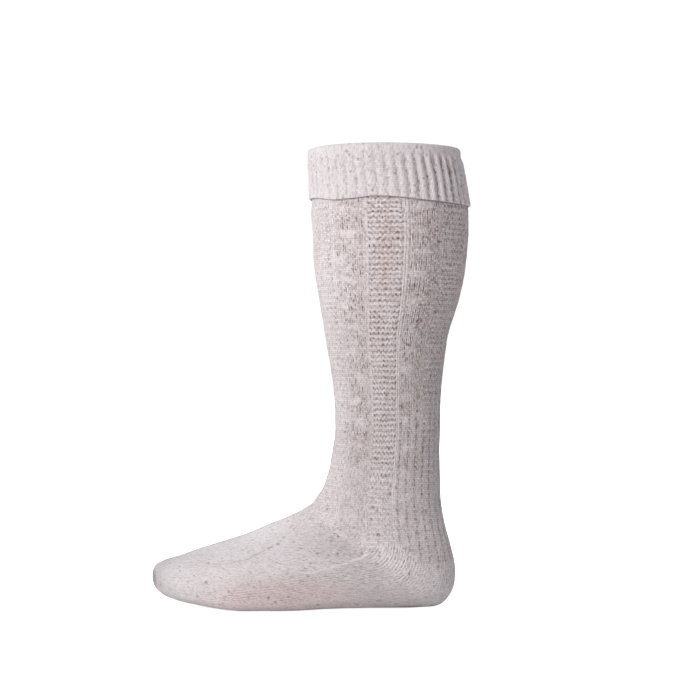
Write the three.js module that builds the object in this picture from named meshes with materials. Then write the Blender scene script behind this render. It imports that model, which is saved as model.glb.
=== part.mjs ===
// A knee sock as it stands on the leg: a patterned leg with a ribbed cuff turned down over its top,
// a heel cup, a patterned instep, a plain sole and a closed toe. Every piece is a hollow knitted wall.
// Millimetres, +Z up, the toe towards -X and the little toe towards -Y.
// The origin lies on the inner face of the sole, straight below the leg's axis.
import * as THREE from "three";

// Overall sizes, measured over the outside of the cloth
const sockHeight = 374; // floor to the top of the cuff's fold
const ankleHeight = 128; // floor to the narrow of the ankle, where the foot begins
const footLength = 250; // back of the heel to the tip of the toe
const heelDepth = 56; // leg's axis to the back of the heel
const calfDepth = 129.5; // front to back
const calfWidth = 121; // side to side
const ankleDepth = 86;
const ankleWidth = 68;
const heelWidth = 69;
const ballWidth = 99;
const toeWidth = 84;

// The cloth
const wall = 2.2;
const seamGap = 0.3; // left between two pieces where one knitted piece runs into the next

// The turned-down cuff
const cuffDrop = 44; // top of the fold to the hem
const cuffWall = 1.6; // between the ribs
const cuffEase = 0.5; // air between the leg and the cuff that hangs over it
const cuffRibs = 46;
const cuffRibTurn = 0.18; // share of a rib by which the first groove stands off the half
const cuffRibRise = 1.0;
const foldRise = 5; // the fold's height above the leg's top edge
const foldRound = 3.2; // height over which the fold turns over
const ribStart = 7; // top of the fold to where the ribs stand out in full
const hemRound = 0.8;

// The raised ribs on both sides of the openwork strip that runs down each side of the leg
const sideRibWidth = 4.6;
const sideRibRise = 0.7;
const sideRibStart = 0.2; // height over which they start, under the hem
const sideRibShares = [0.2, 0.287, 0.713, 0.8]; // places round the leg, from the shin

// How finely the walls are divided
const legColumns = 36;
const instepColumns = 28;
const soleColumns = 24;
const toeColumns = 40;
const ringSteps = 240; // points that a section's length is measured with
const shareStep = 0.004; // share of the way round over which a surface's direction is measured

// The leg's sections. height is a share of the leg from the ankle to its top edge, swell runs from the
// ankle's size at 0 to the calf's at 1, and lean moves the section back by that share of the calf's depth.
const legTable = [
  { height: 1, swell: 0.81, lean: -0.018 },
  { height: 0.982, swell: 0.82, lean: -0.016 },
  { height: 0.905, swell: 0.878, lean: 0 },
  { height: 0.863, swell: 0.9, lean: 0.008 },
  { height: 0.84, swell: 0.93, lean: 0.012 },
  { height: 0.815, swell: 0.98, lean: 0.016 },
  { height: 0.8, swell: 0.985, lean: 0.016 },
  { height: 0.721, swell: 0.945, lean: 0.0225 },
  { height: 0.639, swell: 0.887, lean: 0.019 },
  { height: 0.558, swell: 0.756, lean: 0.016 },
  { height: 0.476, swell: 0.568, lean: 0.009 },
  { height: 0.394, swell: 0.3425, lean: -0.003 },
  { height: 0.3535, swell: 0.267, lean: -0.003 },
  { height: 0.272, swell: 0.133, lean: 0 },
  { height: 0.19, swell: 0.04, lean: 0.003 },
  { height: 0.068, swell: 0.002, lean: 0.003 },
  { height: 0, swell: 0.035, lean: -0.006 },
];

// The ankle's, heel's and foot's sections, each a plane that runs from the instep to the heel or the sole.
// Places along the foot are shares of its length from the back of the heel, heights are shares of the
// ankle's height, waist is where the section is widest between its two ends, and the two roundness
// columns are the superellipse's exponents in its upper and lower half, 2 being an ellipse.
const footTable = [
  { top: [-0.551 * ankleDepth, 0.883], base: [0.505 * ankleDepth, 0.844], width: 1.0 * ankleWidth },
  { top: [-0.585 * ankleDepth, 0.805], base: [0.514 * ankleDepth, 0.688], width: 1.03 * ankleWidth },
  { top: [-0.619 * ankleDepth, 0.75], base: [0.848 * heelDepth, 0.531], width: 1.06 * ankleWidth },
  { top: [fromHeel(0.454), 0.703], base: [fromHeel(0.0155), 0.391], width: 1.07 * ankleWidth },
  { top: [fromHeel(0.466), 0.668], base: [fromHeel(0.0008), 0.25], width: 1.06 * ankleWidth },
  { top: [fromHeel(0.479), 0.646], base: [fromHeel(0.0077), 0.117], width: 1.06 * heelWidth },
  { top: [fromHeel(0.493), 0.628], base: [fromHeel(0.048), 0.018], width: 1.05 * heelWidth },
  { top: [fromHeel(0.508), 0.61], base: [fromHeel(0.12), 0.0], width: 1.07 * heelWidth },
  { top: [fromHeel(0.527), 0.592], base: [fromHeel(0.205), 0.0], width: 0.78 * ballWidth },
  { top: [fromHeel(0.552), 0.57], base: [fromHeel(0.302), 0.006], width: 0.815 * ballWidth },
  { top: [fromHeel(0.589), 0.54], base: [fromHeel(0.41), 0.006], width: 0.865 * ballWidth },
  { top: [fromHeel(0.638), 0.5], base: [fromHeel(0.518), 0], width: 0.93 * ballWidth },
  { top: [fromHeel(0.69), 0.456], base: [fromHeel(0.615), 0], width: 0.985 * ballWidth },
  { top: [fromHeel(0.745), 0.421], base: [fromHeel(0.708), 0], width: 1.0 * ballWidth },
  { top: [fromHeel(0.797), 0.39], base: [fromHeel(0.785), 0.012], width: 1.1 * toeWidth },
  { top: [fromHeel(0.853), 0.353], base: [fromHeel(0.855), 0.028], width: 1.0 * toeWidth },
  { top: [fromHeel(0.905), 0.319], base: [fromHeel(0.912), 0.042], width: 0.82 * toeWidth },
  { top: [fromHeel(0.95), 0.293], base: [fromHeel(0.955), 0.064], width: 0.59 * toeWidth },
  { top: [fromHeel(0.984), 0.262], base: [fromHeel(0.986), 0.1], width: 0.33 * toeWidth },
];

// How each row above is rounded, and how far its middle and its ridge lie towards the big toe, as shares
// of the ball's width. The seam between the instep and the sole lies at that share of the way round.
const footForm = [
  { waist: 0.5, upper: 2.0, lower: 2.0, shift: 0.0, ridge: 0.0, seam: 0.27 },
  { waist: 0.5, upper: 2.0, lower: 2.0, shift: 0.0, ridge: 0.0, seam: 0.27 },
  { waist: 0.5, upper: 2.0, lower: 2.05, shift: 0.0, ridge: 0.01, seam: 0.27 },
  { waist: 0.51, upper: 2.0, lower: 2.1, shift: 0.0, ridge: 0.02, seam: 0.28 },
  { waist: 0.53, upper: 2.0, lower: 2.15, shift: 0.0, ridge: 0.02, seam: 0.29 },
  { waist: 0.56, upper: 2.0, lower: 2.2, shift: 0.0, ridge: 0.03, seam: 0.275 },
  { waist: 0.58, upper: 2.0, lower: 2.25, shift: 0.0, ridge: 0.04, seam: 0.26 },
  { waist: 0.6, upper: 2.0, lower: 2.3, shift: -0.005, ridge: 0.05, seam: 0.265 },
  { waist: 0.64, upper: 1.95, lower: 2.6, shift: -0.015, ridge: 0.07, seam: 0.28 },
  { waist: 0.66, upper: 1.9, lower: 3, shift: -0.03, ridge: 0.09, seam: 0.295 },
  { waist: 0.68, upper: 1.9, lower: 3.5, shift: -0.035, ridge: 0.11, seam: 0.3 },
  { waist: 0.69, upper: 1.95, lower: 4, shift: -0.035, ridge: 0.12, seam: 0.295 },
  { waist: 0.69, upper: 2.0, lower: 4, shift: -0.025, ridge: 0.12, seam: 0.29 },
  { waist: 0.68, upper: 2.1, lower: 4, shift: -0.01, ridge: 0.11, seam: 0.28 },
  { waist: 0.64, upper: 2.2, lower: 3.6, shift: 0.005, ridge: 0.09, seam: 0.27 },
  { waist: 0.6, upper: 2.3, lower: 3, shift: 0.025, ridge: 0.06, seam: 0.265 },
  { waist: 0.56, upper: 2.3, lower: 2.6, shift: 0.06, ridge: 0.03, seam: 0.26 },
  { waist: 0.53, upper: 2.2, lower: 2.4, shift: 0.1, ridge: 0.01, seam: 0.255 },
  { waist: 0.51, upper: 2.1, lower: 2.2, shift: 0.135, ridge: 0.0, seam: 0.25 },
];
const heelStartRow = 4; // the leg's patterned tube ends on this row of the foot's table
const heelEndRow = 8;
const toeStartRow = 15;
const toeTip = { x: fromHeel(1), y: 0.15 * ballWidth, z: 0.19 * ankleHeight };

// The hem's dips, as shares of the cuff's drop, from the shin at 0 to the back of the calf at 0.5
const hemTable = [
  { share: 0, dip: -0.07 },
  { share: 0.065, dip: -0.058 },
  { share: 0.12, dip: 0 },
  { share: 0.17, dip: -0.004 },
  { share: 0.215, dip: -0.04 },
  { share: 0.25, dip: -0.03 },
  { share: 0.3, dip: 0.01 },
  { share: 0.36, dip: 0.045 },
  { share: 0.4, dip: 0.065 },
  { share: 0.45, dip: 0.068 },
  { share: 0.5, dip: 0.06 },
];

// The fold's outline over the cuff's whole thickness, from the inner face to the outer one. across is a
// share of that thickness, and drop is the depth below the top of the fold as a share of foldRound.
const foldTable = [
  { across: 0, drop: 1 },
  { across: 0.2, drop: 0.25 },
  { across: 0.5, drop: 0 },
  { across: 0.8, drop: 0.3 },
  { across: 1, drop: 1.1 },
];

// The rounded rib of the cuff: how much of its rise each point across one rib has
const ribForm = [1, 1, 0, 0];

const legTop = sockHeight - foldRise;
const deepestDip = Math.max(...hemTable.map((row) => row.dip));
const ribTop = sockHeight - cuffDrop * (1 + deepestDip) - cuffEase; // the side ribs start below the hem
const coverEnd = ribTop + sideRibStart;
const coveredLevels = [1, 0.65, 0.25, 0].map((share) => coverEnd + share * (legTop - coverEnd));
const shownLevels = steps(ribTop, ankleHeight, 10);
const legLevels = [...coveredLevels, ...shownLevels];

/** X of a point along the foot, from its share of the foot's length. */
function fromHeel(share) {
  return heelDepth - share * footLength;
}

/** A column's value at a place between two rows of a table, on a cubic through the rows around it. */
function between(table, key, column, at) {
  const rows = [...table].sort((a, b) => a[key] - b[key]);
  const last = rows.length - 1;
  const next = Math.min(Math.max(rows.findIndex((row) => row[key] >= at), 1), last);
  const [k0, k1] = [rows[next - 1][key], rows[next][key]];
  const slope = (i) => {
    const [a, b] = [rows[Math.max(i - 1, 0)], rows[Math.min(i + 1, last)]];
    return (b[column] - a[column]) / (b[key] - a[key]);
  };
  const span = k1 - k0;
  const t = (at - k0) / span;
  const [v0, v1] = [rows[next - 1][column], rows[next][column]];
  return (
    (2 * t ** 3 - 3 * t ** 2 + 1) * v0 +
    (t ** 3 - 2 * t ** 2 + t) * span * slope(next - 1) +
    (3 * t ** 2 - 2 * t ** 3) * v1 +
    (t ** 3 - t ** 2) * span * slope(next)
  );
}

/** A closed section of the sock in a plane through the Y direction, measured by shares of its own length. */
class Section {
  constructor({ top, base, width, waist, upper, lower, shift, ridge, seam }) {
    this.seam = seam;
    this.normal = new THREE.Vector3(base.z - top.z, 0, top.x - base.x).normalize();
    const middle = top.clone().lerp(base, waist);
    this.points = [];
    for (let i = 0; i <= ringSteps; i++) {
      const angle = (2 * Math.PI * i) / ringSteps;
      const inFront = Math.cos(angle) >= 0;
      const power = 2 / (inFront ? upper : lower);
      const along = Math.abs(Math.cos(angle)) ** power;
      const across = Math.sign(Math.sin(angle)) * Math.abs(Math.sin(angle)) ** power;
      const point = middle.clone().lerp(inFront ? top : base, along);
      point.y = shift - (across * width) / 2 + (inFront ? ridge * along : 0);
      this.points.push(point);
    }
    this.lengths = [0];
    this.points.slice(1).forEach((point, i) => {
      this.lengths.push(this.lengths[i] + point.distanceTo(this.points[i]));
    });
    this.perimeter = this.lengths[ringSteps];
  }

  /** The point at a share of the way round, from the front and over the little-toe side. */
  at(share) {
    const length = (share - Math.floor(share)) * this.perimeter;
    let i = 1;
    while (this.lengths[i] < length) i++;
    const t = (length - this.lengths[i - 1]) / (this.lengths[i] - this.lengths[i - 1]);
    return this.points[i - 1].clone().lerp(this.points[i], t);
  }
}

/** The leg's level section at a height above the floor. */
function legSection(z) {
  const height = (z - ankleHeight) / (legTop - ankleHeight);
  const swell = between(legTable, "height", "swell", height);
  const lean = between(legTable, "height", "lean", height) * calfDepth;
  const half = (ankleDepth + (calfDepth - ankleDepth) * swell) / 2;
  return new Section({
    top: new THREE.Vector3(lean - half, 0, z),
    base: new THREE.Vector3(lean + half, 0, z),
    width: ankleWidth + (calfWidth - ankleWidth) * swell,
    waist: 0.5,
    upper: 2,
    lower: 2,
    shift: 0,
    ridge: 0,
    seam: footForm[0].seam,
  });
}

/** The section that one row of the foot's two tables describes. */
function footSection(row, i) {
  const form = footForm[i];
  return new Section({
    ...form,
    top: new THREE.Vector3(row.top[0], 0, row.top[1] * ankleHeight),
    base: new THREE.Vector3(row.base[0], 0, row.base[1] * ankleHeight),
    width: row.width,
    shift: form.shift * ballWidth,
    ridge: form.ridge * ballWidth,
  });
}

/** Evenly spaced numbers from one end to the other, both included. */
function steps(from, to, count) {
  return Array.from({ length: count + 1 }, (_, i) => from + ((to - from) * i) / count);
}

/** The outward normal of the sock's surface at a section and a share of the way round it. */
function outward(sections, row, share) {
  const around = sections[row].at(share + shareStep).sub(sections[row].at(share - shareStep));
  const before = sections[Math.max(row - 1, 0)].at(share);
  const along = row < sections.length - 1 ? sections[row + 1].at(share) : tipPoint();
  return along.sub(before).cross(around).normalize();
}

/** The tip of the toe, on the outside. */
function tipPoint() {
  return new THREE.Vector3(toeTip.x, toeTip.y, toeTip.z);
}

/** How far the side ribs stand out at a share of the way round. */
function sideRib(section, share) {
  const half = sideRibWidth / 2 / section.perimeter;
  const offset = Math.min(...sideRibShares.map((rib) => Math.abs(share - rib)));
  return sideRibRise * THREE.MathUtils.clamp((2 * (half - offset)) / half, 0, 1);
}

/** Shares round the leg: even steps, with the corners of each side rib in place of those they meet. */
function legShares(section) {
  const half = sideRibWidth / 2 / section.perimeter;
  const corners = sideRibShares.flatMap((rib) => [rib - half, rib - half / 2, rib + half / 2, rib + half]);
  const even = steps(0, 1, legColumns).slice(0, -1);
  const kept = even.filter((share) => corners.every((corner) => Math.abs(share - corner) > half / 2));
  return { corners, kept };
}

/** A closed body from two grids of points, the outer face and the inner one, joined round their edges. */
function closedWall(outer, inner, { ring, tip }) {
  const rows = outer.length;
  const columns = outer[0].length;
  const points = [...outer.flat(), ...inner.flat()];
  const index = (side, row, column) => side * rows * columns + row * columns + (column % columns);
  const faces = [];
  const quad = (a, b, c, d) => faces.push(a, b, c, a, c, d);
  const spans = ring ? columns : columns - 1;
  for (let j = 0; j < spans; j++) {
    for (let i = 0; i < rows - 1; i++) {
      quad(index(0, i, j), index(0, i + 1, j), index(0, i + 1, j + 1), index(0, i, j + 1));
      quad(index(1, i, j), index(1, i, j + 1), index(1, i + 1, j + 1), index(1, i + 1, j));
    }
    quad(index(0, 0, j), index(0, 0, j + 1), index(1, 0, j + 1), index(1, 0, j));
    const end = rows - 1;
    if (tip) {
      const outerTip = points.length;
      faces.push(index(0, end, j), outerTip, index(0, end, j + 1));
      faces.push(index(1, end, j), index(1, end, j + 1), outerTip + 1);
    } else {
      quad(index(0, end, j), index(1, end, j), index(1, end, j + 1), index(0, end, j + 1));
    }
  }
  if (!ring) {
    for (let i = 0; i < rows - 1; i++) {
      const j = columns - 1;
      quad(index(0, i, 0), index(1, i, 0), index(1, i + 1, 0), index(0, i + 1, 0));
      quad(index(0, i, j), index(0, i + 1, j), index(1, i + 1, j), index(1, i, j));
    }
  }
  return closedGeometry([...points, ...(tip ?? [])], faces);
}

/** A geometry from points and the indices of its triangles. */
function closedGeometry(points, faces) {
  const geometry = new THREE.BufferGeometry();
  geometry.setAttribute("position", new THREE.Float32BufferAttribute(points.flatMap((p) => p.toArray()), 3));
  geometry.setIndex(faces);
  geometry.computeVertexNormals();
  return geometry;
}

/**
 * A stretch of the sock's wall between two rows. sharesAt gives the columns of a row, rise how far the
 * knitting stands out, and the first and last row are moved apart from their neighbours by half a gap.
 */
function sockWall(sections, { rows, sharesAt, rise = () => 0, ring = false, tip = false, openEnds }) {
  const outer = [];
  const inner = [];
  rows.forEach((row, i) => {
    const section = sections[row];
    const isEnd = (i === 0 && openEnds[0]) || (i === rows.length - 1 && openEnds[1]);
    const move = section.normal.clone().multiplyScalar(isEnd ? ((i === 0 ? 1 : -1) * seamGap) / 2 : 0);
    const shares = sharesAt(section, row);
    const place = (share, out) =>
      section.at(share).addScaledVector(outward(sections, row, share), out).add(move);
    outer.push(shares.map((share) => place(share, rise(section, share, row))));
    inner.push(shares.map((share) => place(share, -wall)));
  });
  const ends = [tipPoint(), tipPoint().add(new THREE.Vector3(wall, 0, 0))];
  return closedWall(outer, inner, { ring, tip: tip ? ends : null });
}

/** The leg's outer face at a height, between the two levels that its wall is built on. */
function legFace(share, z) {
  const next = legLevels.findIndex((level) => level <= z);
  if (next <= 0) return levelSections[0].at(share);
  const t = (legLevels[next - 1] - z) / (legLevels[next - 1] - legLevels[next]);
  return levelSections[next - 1].at(share).lerp(levelSections[next].at(share), t);
}

/** How far the hem hangs below its level, at a share of the way round. */
function hemDip(share) {
  const mirrored = share > 0.5 ? 1 - share : share;
  return between(hemTable, "share", "dip", mirrored) * cuffDrop;
}

/** The cuff: its fold caps the leg's top edge, and its ribbed wall hangs down outside the leg. */
function cuffGeometry() {
  const count = cuffRibs * ribForm.length;
  const face = cuffEase + cuffWall;
  const foldWidth = face + wall;
  const seat = legTop + seamGap;
  const rings = [];
  for (let k = 0; k < count; k++) {
    const share = (k - 0.5) / count + cuffRibTurn / cuffRibs;
    const rib = cuffRibRise * ribForm[k % ribForm.length];
    const hem = sockHeight - cuffDrop - hemDip((share + 1) % 1);
    const profile = [
      [-wall, seat],
      ...foldTable.map(({ across, drop }) => [-wall + across * foldWidth, sockHeight - drop * foldRound]),
      [face + rib, sockHeight - ribStart],
      [face + rib, (sockHeight + hem) / 2],
      [face + rib, hem + hemRound],
      [face + rib - hemRound, hem],
      [cuffEase, hem],
      [cuffEase, coveredLevels[2]],
      [cuffEase, coveredLevels[1]],
      [cuffEase, seat],
    ];
    profile.forEach(([out, z], ring) => {
      rings[ring] ??= [];
      const around = legFace(share + shareStep, z).sub(legFace(share - shareStep, z));
      const normal = new THREE.Vector3(0, 0, -1).cross(around).normalize();
      rings[ring].push(legFace(share, z).addScaledVector(normal, out).setZ(z));
    });
  }
  const faces = [];
  const index = (ring, k) => (ring % rings.length) * count + (k % count);
  for (let ring = 0; ring < rings.length; ring++) {
    for (let k = 0; k < count; k++) {
      const [a, b] = [index(ring, k), index(ring + 1, k)];
      const [c, d] = [index(ring + 1, k + 1), index(ring, k + 1)];
      faces.push(a, b, c, a, c, d);
    }
  }
  return closedGeometry(rings.flat(), faces);
}

/** A named piece of knitting. */
function piece(name, geometry, colour) {
  const yarn = new THREE.MeshStandardMaterial({ color: colour, roughness: 0.95, metalness: 0 });
  const mesh = new THREE.Mesh(geometry, yarn);
  mesh.name = name;
  return mesh;
}

const levelSections = legLevels.map(legSection);
const sections = [...levelSections, ...footTable.map(footSection)];
const footRow = (row) => legLevels.length + row;
const rowsBetween = (first, last) => steps(first, last, last - first);

const legGeometry = sockWall(sections, {
  rows: rowsBetween(0, footRow(heelStartRow)),
  sharesAt: (section) => {
    const { corners } = legShares(section);
    const { kept } = legShares(sections[footRow(0)]);
    return [...kept, ...corners].sort((a, b) => a - b);
  },
  rise: (section, share, row) => (row < coveredLevels.length ? 0 : sideRib(section, share)),
  ring: true,
  openEnds: [false, true],
});

const halfGapShare = (section) => seamGap / 2 / section.perimeter;

const instepGeometry = sockWall(sections, {
  rows: rowsBetween(footRow(heelStartRow), footRow(toeStartRow)),
  sharesAt: (section) => {
    const edge = section.seam - halfGapShare(section);
    return steps(-edge, edge, instepColumns);
  },
  openEnds: [true, true],
});

const soleShares = (section) => {
  const edge = section.seam + halfGapShare(section);
  return steps(edge, 1 - edge, soleColumns);
};

const heelGeometry = sockWall(sections, {
  rows: rowsBetween(footRow(heelStartRow), footRow(heelEndRow)),
  sharesAt: soleShares,
  openEnds: [true, true],
});

const soleGeometry = sockWall(sections, {
  rows: rowsBetween(footRow(heelEndRow), footRow(toeStartRow)),
  sharesAt: soleShares,
  openEnds: [true, true],
});

const toeGeometry = sockWall(sections, {
  rows: rowsBetween(footRow(toeStartRow), sections.length - 1),
  sharesAt: () => steps(0, 1, toeColumns).slice(0, -1),
  ring: true,
  tip: true,
  openEnds: [true, false],
});

const sock = new THREE.Group();
sock.add(
  piece("cuff", cuffGeometry(), 0xcdc6c8),
  piece("leg", legGeometry, 0xbbb1b4),
  piece("instep", instepGeometry, 0xcbc1c2),
  piece("heel", heelGeometry, 0xc3b8b9),
  piece("sole", soleGeometry, 0xc9bfbf),
  piece("toe", toeGeometry, 0xcdc4c4),
);
sock.position.z = -wall; // the floor lies one wall below the inner face of the sole

export default sock;
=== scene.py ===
import logging
import math
from dataclasses import dataclass, field
from enum import Enum
from typing import Callable

import bmesh
import bpy
import numpy as np
from bpy.types import Material, Mesh, Node, NodeSocket, NodeTree, Object
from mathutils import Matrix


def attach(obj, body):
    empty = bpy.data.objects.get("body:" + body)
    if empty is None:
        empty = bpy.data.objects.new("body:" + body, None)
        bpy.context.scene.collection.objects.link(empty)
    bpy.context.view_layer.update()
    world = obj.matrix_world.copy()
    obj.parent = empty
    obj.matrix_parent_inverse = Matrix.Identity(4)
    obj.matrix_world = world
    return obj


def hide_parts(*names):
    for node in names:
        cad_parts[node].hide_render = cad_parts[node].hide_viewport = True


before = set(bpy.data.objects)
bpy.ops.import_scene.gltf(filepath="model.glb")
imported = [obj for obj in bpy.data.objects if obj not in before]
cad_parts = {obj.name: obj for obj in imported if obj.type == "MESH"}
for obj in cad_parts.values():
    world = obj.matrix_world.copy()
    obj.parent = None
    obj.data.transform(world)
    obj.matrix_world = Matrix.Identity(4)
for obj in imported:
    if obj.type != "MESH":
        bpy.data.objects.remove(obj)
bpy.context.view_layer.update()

log = logging.getLogger("knee sock")

MM = 0.001
ROOT = "root"
STITCH_MAP = "stitches"


class Slot(Enum):
    """The record's material slots, one for each way the sock is knitted."""

    RIBBED = "ribbed_knit"
    PATTERNED = "patterned_knit"
    PLAIN = "plain_knit"


class Sum(Enum):
    """The sums on numbers and on vectors that the materials use, by Blender's names for them."""

    PLUS = "ADD"
    MINUS = "SUBTRACT"
    TIMES = "MULTIPLY"
    TIMES_PLUS = "MULTIPLY_ADD"
    OVER = "DIVIDE"
    DOT = "DOT_PRODUCT"
    LENGTH = "LENGTH"
    SIZE = "ABSOLUTE"
    FRACTION = "FRACT"
    WHOLE = "FLOOR"
    WAVE = "SINE"
    BELOW = "LESS_THAN"
    LEAST = "MINIMUM"


def linear(code: str) -> tuple[float, float, float, float]:
    """Turn an sRGB hex colour into the linear colour that a shader socket takes.

    Args:
        code: The colour as six hex digits after a hash sign.

    Returns:
        Red, green and blue in linear light, and an alpha of one.
    """
    parts = [int(code[i : i + 2], 16) / 255 for i in (1, 3, 5)]
    red, green, blue = (p / 12.92 if p <= 0.04045 else ((p + 0.055) / 1.055) ** 2.4 for p in parts)
    return (red, green, blue, 1.0)


def smooth(value: np.ndarray, low: float, high: float) -> np.ndarray:
    """Rise from 0 at low to 1 at high along an S-curve.

    Args:
        value: Where the curve is read.
        low: The value at which it is still 0.
        high: The value from which it is 1.

    Returns:
        The curve's height for each value.
    """
    t = np.clip((value - low) / (high - low), 0, 1)
    return t * t * (3 - 2 * t)


def cubic(keys: np.ndarray, values: np.ndarray, at: np.ndarray) -> np.ndarray:
    """Read a table between its rows, on a cubic through the rows around each place.

    Args:
        keys: The table's rising keys.
        values: One row of numbers for each key.
        at: The places to read.

    Returns:
        The row of numbers at each place.
    """
    last = len(keys) - 1
    rows = np.arange(last + 1)
    before, after = np.maximum(rows - 1, 0), np.minimum(rows + 1, last)
    slopes = (values[after] - values[before]) / (keys[after] - keys[before])[:, None]
    row = np.clip(np.searchsorted(keys, at) - 1, 0, last - 1)
    span = (keys[row + 1] - keys[row])[:, None]
    t = ((at - keys[row]) / (keys[row + 1] - keys[row]))[:, None]
    return (
        (2 * t**3 - 3 * t**2 + 1) * values[row]
        + (t**3 - 2 * t**2 + t) * span * slopes[row]
        + (3 * t**2 - 2 * t**3) * values[row + 1]
        + (t**3 - t**2) * span * slopes[row + 1]
    )


def unit(vectors: np.ndarray) -> np.ndarray:
    """Scale vectors to a length of one, and leave those of no length as they are."""
    length = np.linalg.norm(vectors, axis=-1, keepdims=True)
    return vectors / np.where(length > 1e-12, length, 1.0)


class Unevenness:
    """Soft, seeded irregularity, as hand-fed yarn and washing give it."""

    def __init__(self, seed: int, size: int = 256) -> None:
        """Draw the table of random heights.

        Args:
            seed: The seed of the draw.
            size: How many steps the table has each way before it repeats.
        """
        self.size = size
        self.table = np.random.default_rng(seed).random((size, size))

    def stitch(self, column: np.ndarray, row: np.ndarray) -> np.ndarray:
        """Give each stitch its own number between 0 and 1."""
        return self.table[column.astype(int) % self.size, row.astype(int) % self.size]

    def drift(self, x: np.ndarray, y: np.ndarray, period: int = 256) -> np.ndarray:
        """Give a number between -1 and 1 that changes smoothly over steps of one.

        Args:
            x: The first way, which comes back to its start after the period.
            y: The second way.
            period: The whole number of steps in one turn.

        Returns:
            The number at each place.
        """
        i, j = np.floor(x).astype(int), np.floor(y).astype(int)
        s, t = smooth(x - i, 0, 1), smooth(y - j, 0, 1)
        corner = [[self.stitch((i + a) % period, j + b) for b in (0, 1)] for a in (0, 1)]
        near = corner[0][0] * (1 - t) + corner[0][1] * t
        far = corner[1][0] * (1 - t) + corner[1][1] * t
        return 2 * (near * (1 - s) + far * s) - 1


@dataclass
class SockSizes:
    """The sock's own sizes in millimetres, over the outside of the cloth."""

    sock_height: float = 374.0
    ankle_height: float = 128.0
    foot_length: float = 250.0
    heel_depth: float = 56.0
    calf_depth: float = 129.5
    calf_width: float = 121.0
    ankle_depth: float = 86.0
    ankle_width: float = 68.0
    heel_width: float = 69.0
    ball_width: float = 99.0
    toe_width: float = 84.0
    wall: float = 2.2
    fold_rise: float = 5.0

    @property
    def leg_top(self) -> float:
        """Height of the leg's top edge, under the cuff's fold."""
        return self.sock_height - self.fold_rise

    def along(self, share: float) -> float:
        """X of a place along the foot, from its share of the foot's length behind it."""
        return self.heel_depth - share * self.foot_length


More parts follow.
